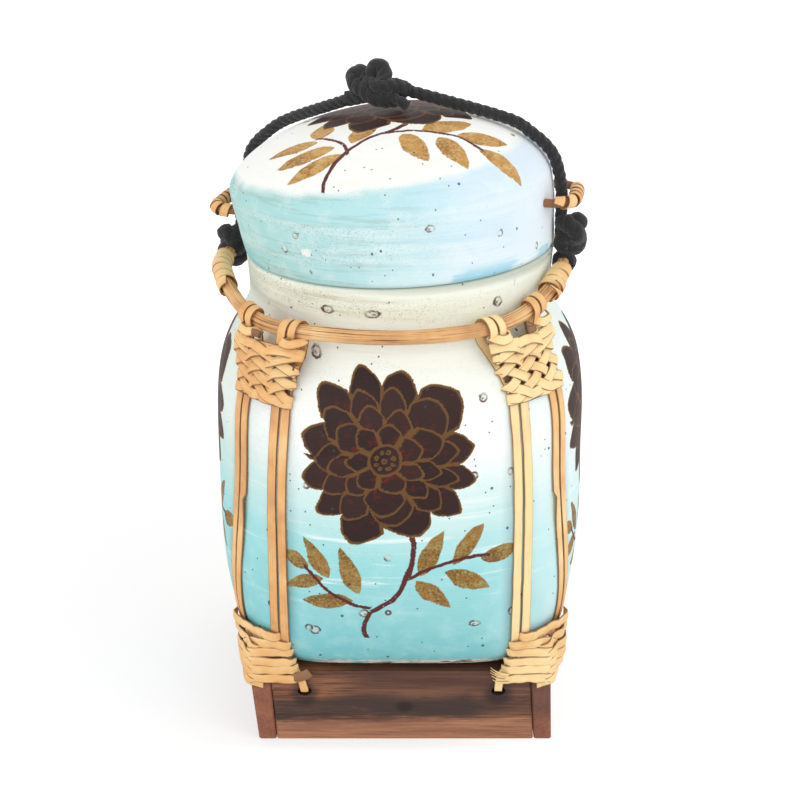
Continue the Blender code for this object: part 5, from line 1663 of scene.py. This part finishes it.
def overLid(side, start):
    # up the wall, round the crown's edge, straight to the top knot; on the left the cord
    # leans back as it climbs, on its way round the lid's edge
    which = cord[side]
    lift = cord["radius"] + 3 * lid["touch"]
    chosen = [start, start + cord["straight"] * upright]
    for share, up in ((-0.40, 0.0), (-0.10, 0.05), (0.25, 0.40), (0.52, 0.80), (0.72, 0.92)):
        turn = which["turn"] + which["back"] * min(1.0, share + 1.2)
        rise = lid["side"] + lid["crown"] * share
        chosen.append(lidWallPoint(turn, rise, lift * math.sqrt(1 - up * up)) + lift * up * upright)
    crown = lidPoint(0.0, 0.0, lid["side"] + lid["crown"])
    forward = heading(cord["right"]["turn"])
    chosen.append(crown + forward * which["end"][0] + which["end"][1] * upright)
    return np.array(chosen)


for name in ("Left", "Right"):
    side = name.lower()
    start, centre = sideCord(side)
    stubTop = centre[2] + cord[side]["half"] - cord[side]["low"]
    low = np.array([start[0], start[1], stubTop - 0.0080])
    whole = resample(np.vstack([low, (low + start) / 2, overLid(side, start)]), cord["rows"])
    lower = whole[whole[:, 2] <= start[2] + 0.0005]
    upper = whole[len(lower) - 1:]
    phase = 2 * pi * along(lower)[-1] / cord["lay"]
    addPiece(f"hoopKnot{name}", [knotRope(side), hoopBand(side)], blackCord, "basket",
             [f"hoop_knot_{side}"])
    addPiece(f"cordOverLid{name}", [ropePatch(upper, cord["radius"], seed=6, phase=phase)],
             blackCord, "lid", [f"cord_over_lid_{side}"])
    drop = addPiece(f"cordDrop{name}", [ropePatch(lower, cord["radius"], seed=5)], blackCord,
                    "basket", [f"cord_drop_{side}"])
    drop.parent = None
    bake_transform(drop)


def topKnot():
    # the cord's own path through the knot: places along the cord, to the back and up, in mm
    crown = lidPoint(0.0, 0.0, lid["side"] + lid["crown"])
    forward = heading(cord["right"]["turn"])
    axes = np.array([forward, np.cross(upright, forward), upright])
    path = np.array([
        (-18.0, 0.0, 4.2), (-11.5, -2.0, 6.0), (-5.0, -3.4, 8.2), (-2.4, -2.6, 12.0),
        (-2.6, -0.4, 16.0), (-5.0, 0.6, 18.2), (-7.4, 0.6, 16.2), (-7.4, 0.4, 12.6),
        (-5.4, 1.8, 9.2), (-0.6, 3.2, 7.2), (2.6, 1.0, 5.4), (0.6, -3.0, 5.0), (-5.2, -4.4, 5.6),
        (-10.6, -3.2, 8.2), (-14.6, -1.2, 10.6), (-15.6, 0.8, 13.6), (-12.8, 1.4, 15.0),
        (-10.2, 0.4, 12.4), (-7.6, -2.2, 11.0), (-2.6, -4.2, 10.6), (2.6, -2.2, 10.6),
        (7.5, 0.0, 8.4)]) / 1000
    stub = np.array([(1.0, -3.4, 6.0), (4.6, -5.2, 5.2), (8.4, -6.2, 3.6)]) / 1000
    return [ropePatch(resample(crown + path @ axes, cord["rows"]), cord["topRope"], seed=14,
                      depth=0.12),
            ropePatch(resample(crown + stub @ axes, 30), cord["stubRope"], seed=15)]


addPiece("topKnot", topKnot(), blackCord, "lid", ["top_knot"])
print("cord made")


# floor, lamps and camera

studio = {
    "floor": 0.90, "size": 3.0, "whiteShare": 0.42, "rightShare": 0.16, "frontShare": 0.45,
    "farShare": 0.60, "whiteLevel": 1.30, "skyLight": 0.70, "aim": (0.0, 0.0, 0.13),
    "camera": (0.0, -0.7417, 0.4344), "tilt": 68.0, "lens": 81.1,
    "lamps": (("keyLamp", (1.1, -1.1, 1.1), 1.2, 5.2), ("frontLamp", (-0.8, -1.6, 0.5), 1.4, 6.0),
              ("topLamp", (0.0, 0.3, 1.8), 1.2, 3.0), ("leftLamp", (-1.4, -0.5, 0.5), 1.2, 4.2),
              ("rightLamp", (1.4, -0.4, 0.4), 1.2, 4.5)),
}


def floorFinish():
    # the camera sees white glow mixed with the lit floor: the glow's share is low beside the
    # object, and rises to the right, in front and far away
    f = Finish("whiteFloor")
    f.tree.nodes.remove(f.shader)
    seen = f.node("ShaderNodeLightPath", {}, {}, output="Is Camera Ray")
    shade = f.node("ShaderNodeBsdfDiffuse", {}, {"Color": (studio["floor"],) * 3})
    glow = f.node("ShaderNodeEmission", {}, {"Color": (1.0, 1.0, 1.0),
                                             "Strength": studio["whiteLevel"]})
    place = f.place()
    x, y = place.part(0), place.part(1)
    share = (studio["rightShare"] * x.rise(0.0, 0.07)
             + studio["frontShare"] * y.fall(-0.085, -0.066)
             + studio["farShare"] * ((x * x + y * y) ** 0.5).rise(0.20, 0.42)
             + studio["whiteShare"]).least(1.0)
    both = f.node("ShaderNodeMixShader", {}, {0: seen * share, 1: shade, 2: glow})
    f.tree.links.new(both.socket, f.tree.nodes["Material Output"].inputs["Surface"])
    return f.material


def addFloor():
    size = studio["size"]
    mesh = bpy.data.meshes.new("floor")
    mesh.from_pydata([(-size, -size, 0), (size, -size, 0), (size, size, 0), (-size, size, 0)],
                     [], [(0, 1, 2, 3)])
    mesh.materials.append(floorFinish())
    floor = bpy.data.objects.new("floor", mesh)
    bpy.context.scene.collection.objects.link(floor)


def addSky():
    # white to the camera and in reflections, dimmer as light
    world = bpy.data.worlds.new("studioSky")
    bpy.context.scene.world = world
    world.use_nodes = True
    tree = world.node_tree
    back = tree.nodes["Background"]
    path = tree.nodes.new("ShaderNodeLightPath")
    level = tree.nodes.new("ShaderNodeMapRange")
    level.inputs["To Min"].default_value = studio["skyLight"]
    level.inputs["To Max"].default_value = 1.0
    seenRay = tree.nodes.new("ShaderNodeMath")
    seenRay.operation = "MAXIMUM"
    tree.links.new(path.outputs["Is Camera Ray"], seenRay.inputs[0])
    tree.links.new(path.outputs["Is Glossy Ray"], seenRay.inputs[1])
    tree.links.new(seenRay.outputs[0], level.inputs["Value"])
    tree.links.new(level.outputs[0], back.inputs["Strength"])
    back.inputs["Color"].default_value = (1.0, 1.0, 1.0, 1.0)


def addLamps():
    # square lamps turned to the middle of the object
    for name, spot, size, power in studio["lamps"]:
        data = bpy.data.lights.new(name, "AREA")
        data.energy = power
        data.size = size
        lamp = bpy.data.objects.new(name, data)
        lamp.location = spot
        aim = np.array(studio["aim"]) - np.array(spot)
        yaw = math.atan2(aim[1], aim[0]) - pi / 2
        pitch = math.atan2(aim[2], math.hypot(aim[0], aim[1])) + pi / 2
        lamp.rotation_euler = (pitch, 0.0, yaw)
        bpy.context.scene.collection.objects.link(lamp)


def addCamera():
    scene = bpy.context.scene
    view = bpy.data.cameras.new("photoCamera")
    view.lens = studio["lens"]
    view.sensor_width = 36.0
    camera = bpy.data.objects.new("photoCamera", view)
    camera.location = studio["camera"]
    camera.rotation_euler = (math.radians(studio["tilt"]), 0.0, 0.0)
    scene.collection.objects.link(camera)
    scene.camera = camera
    scene.view_settings.view_transform = "Standard"


addFloor()
addSky()
addLamps()
addCamera()
print("studio ready")
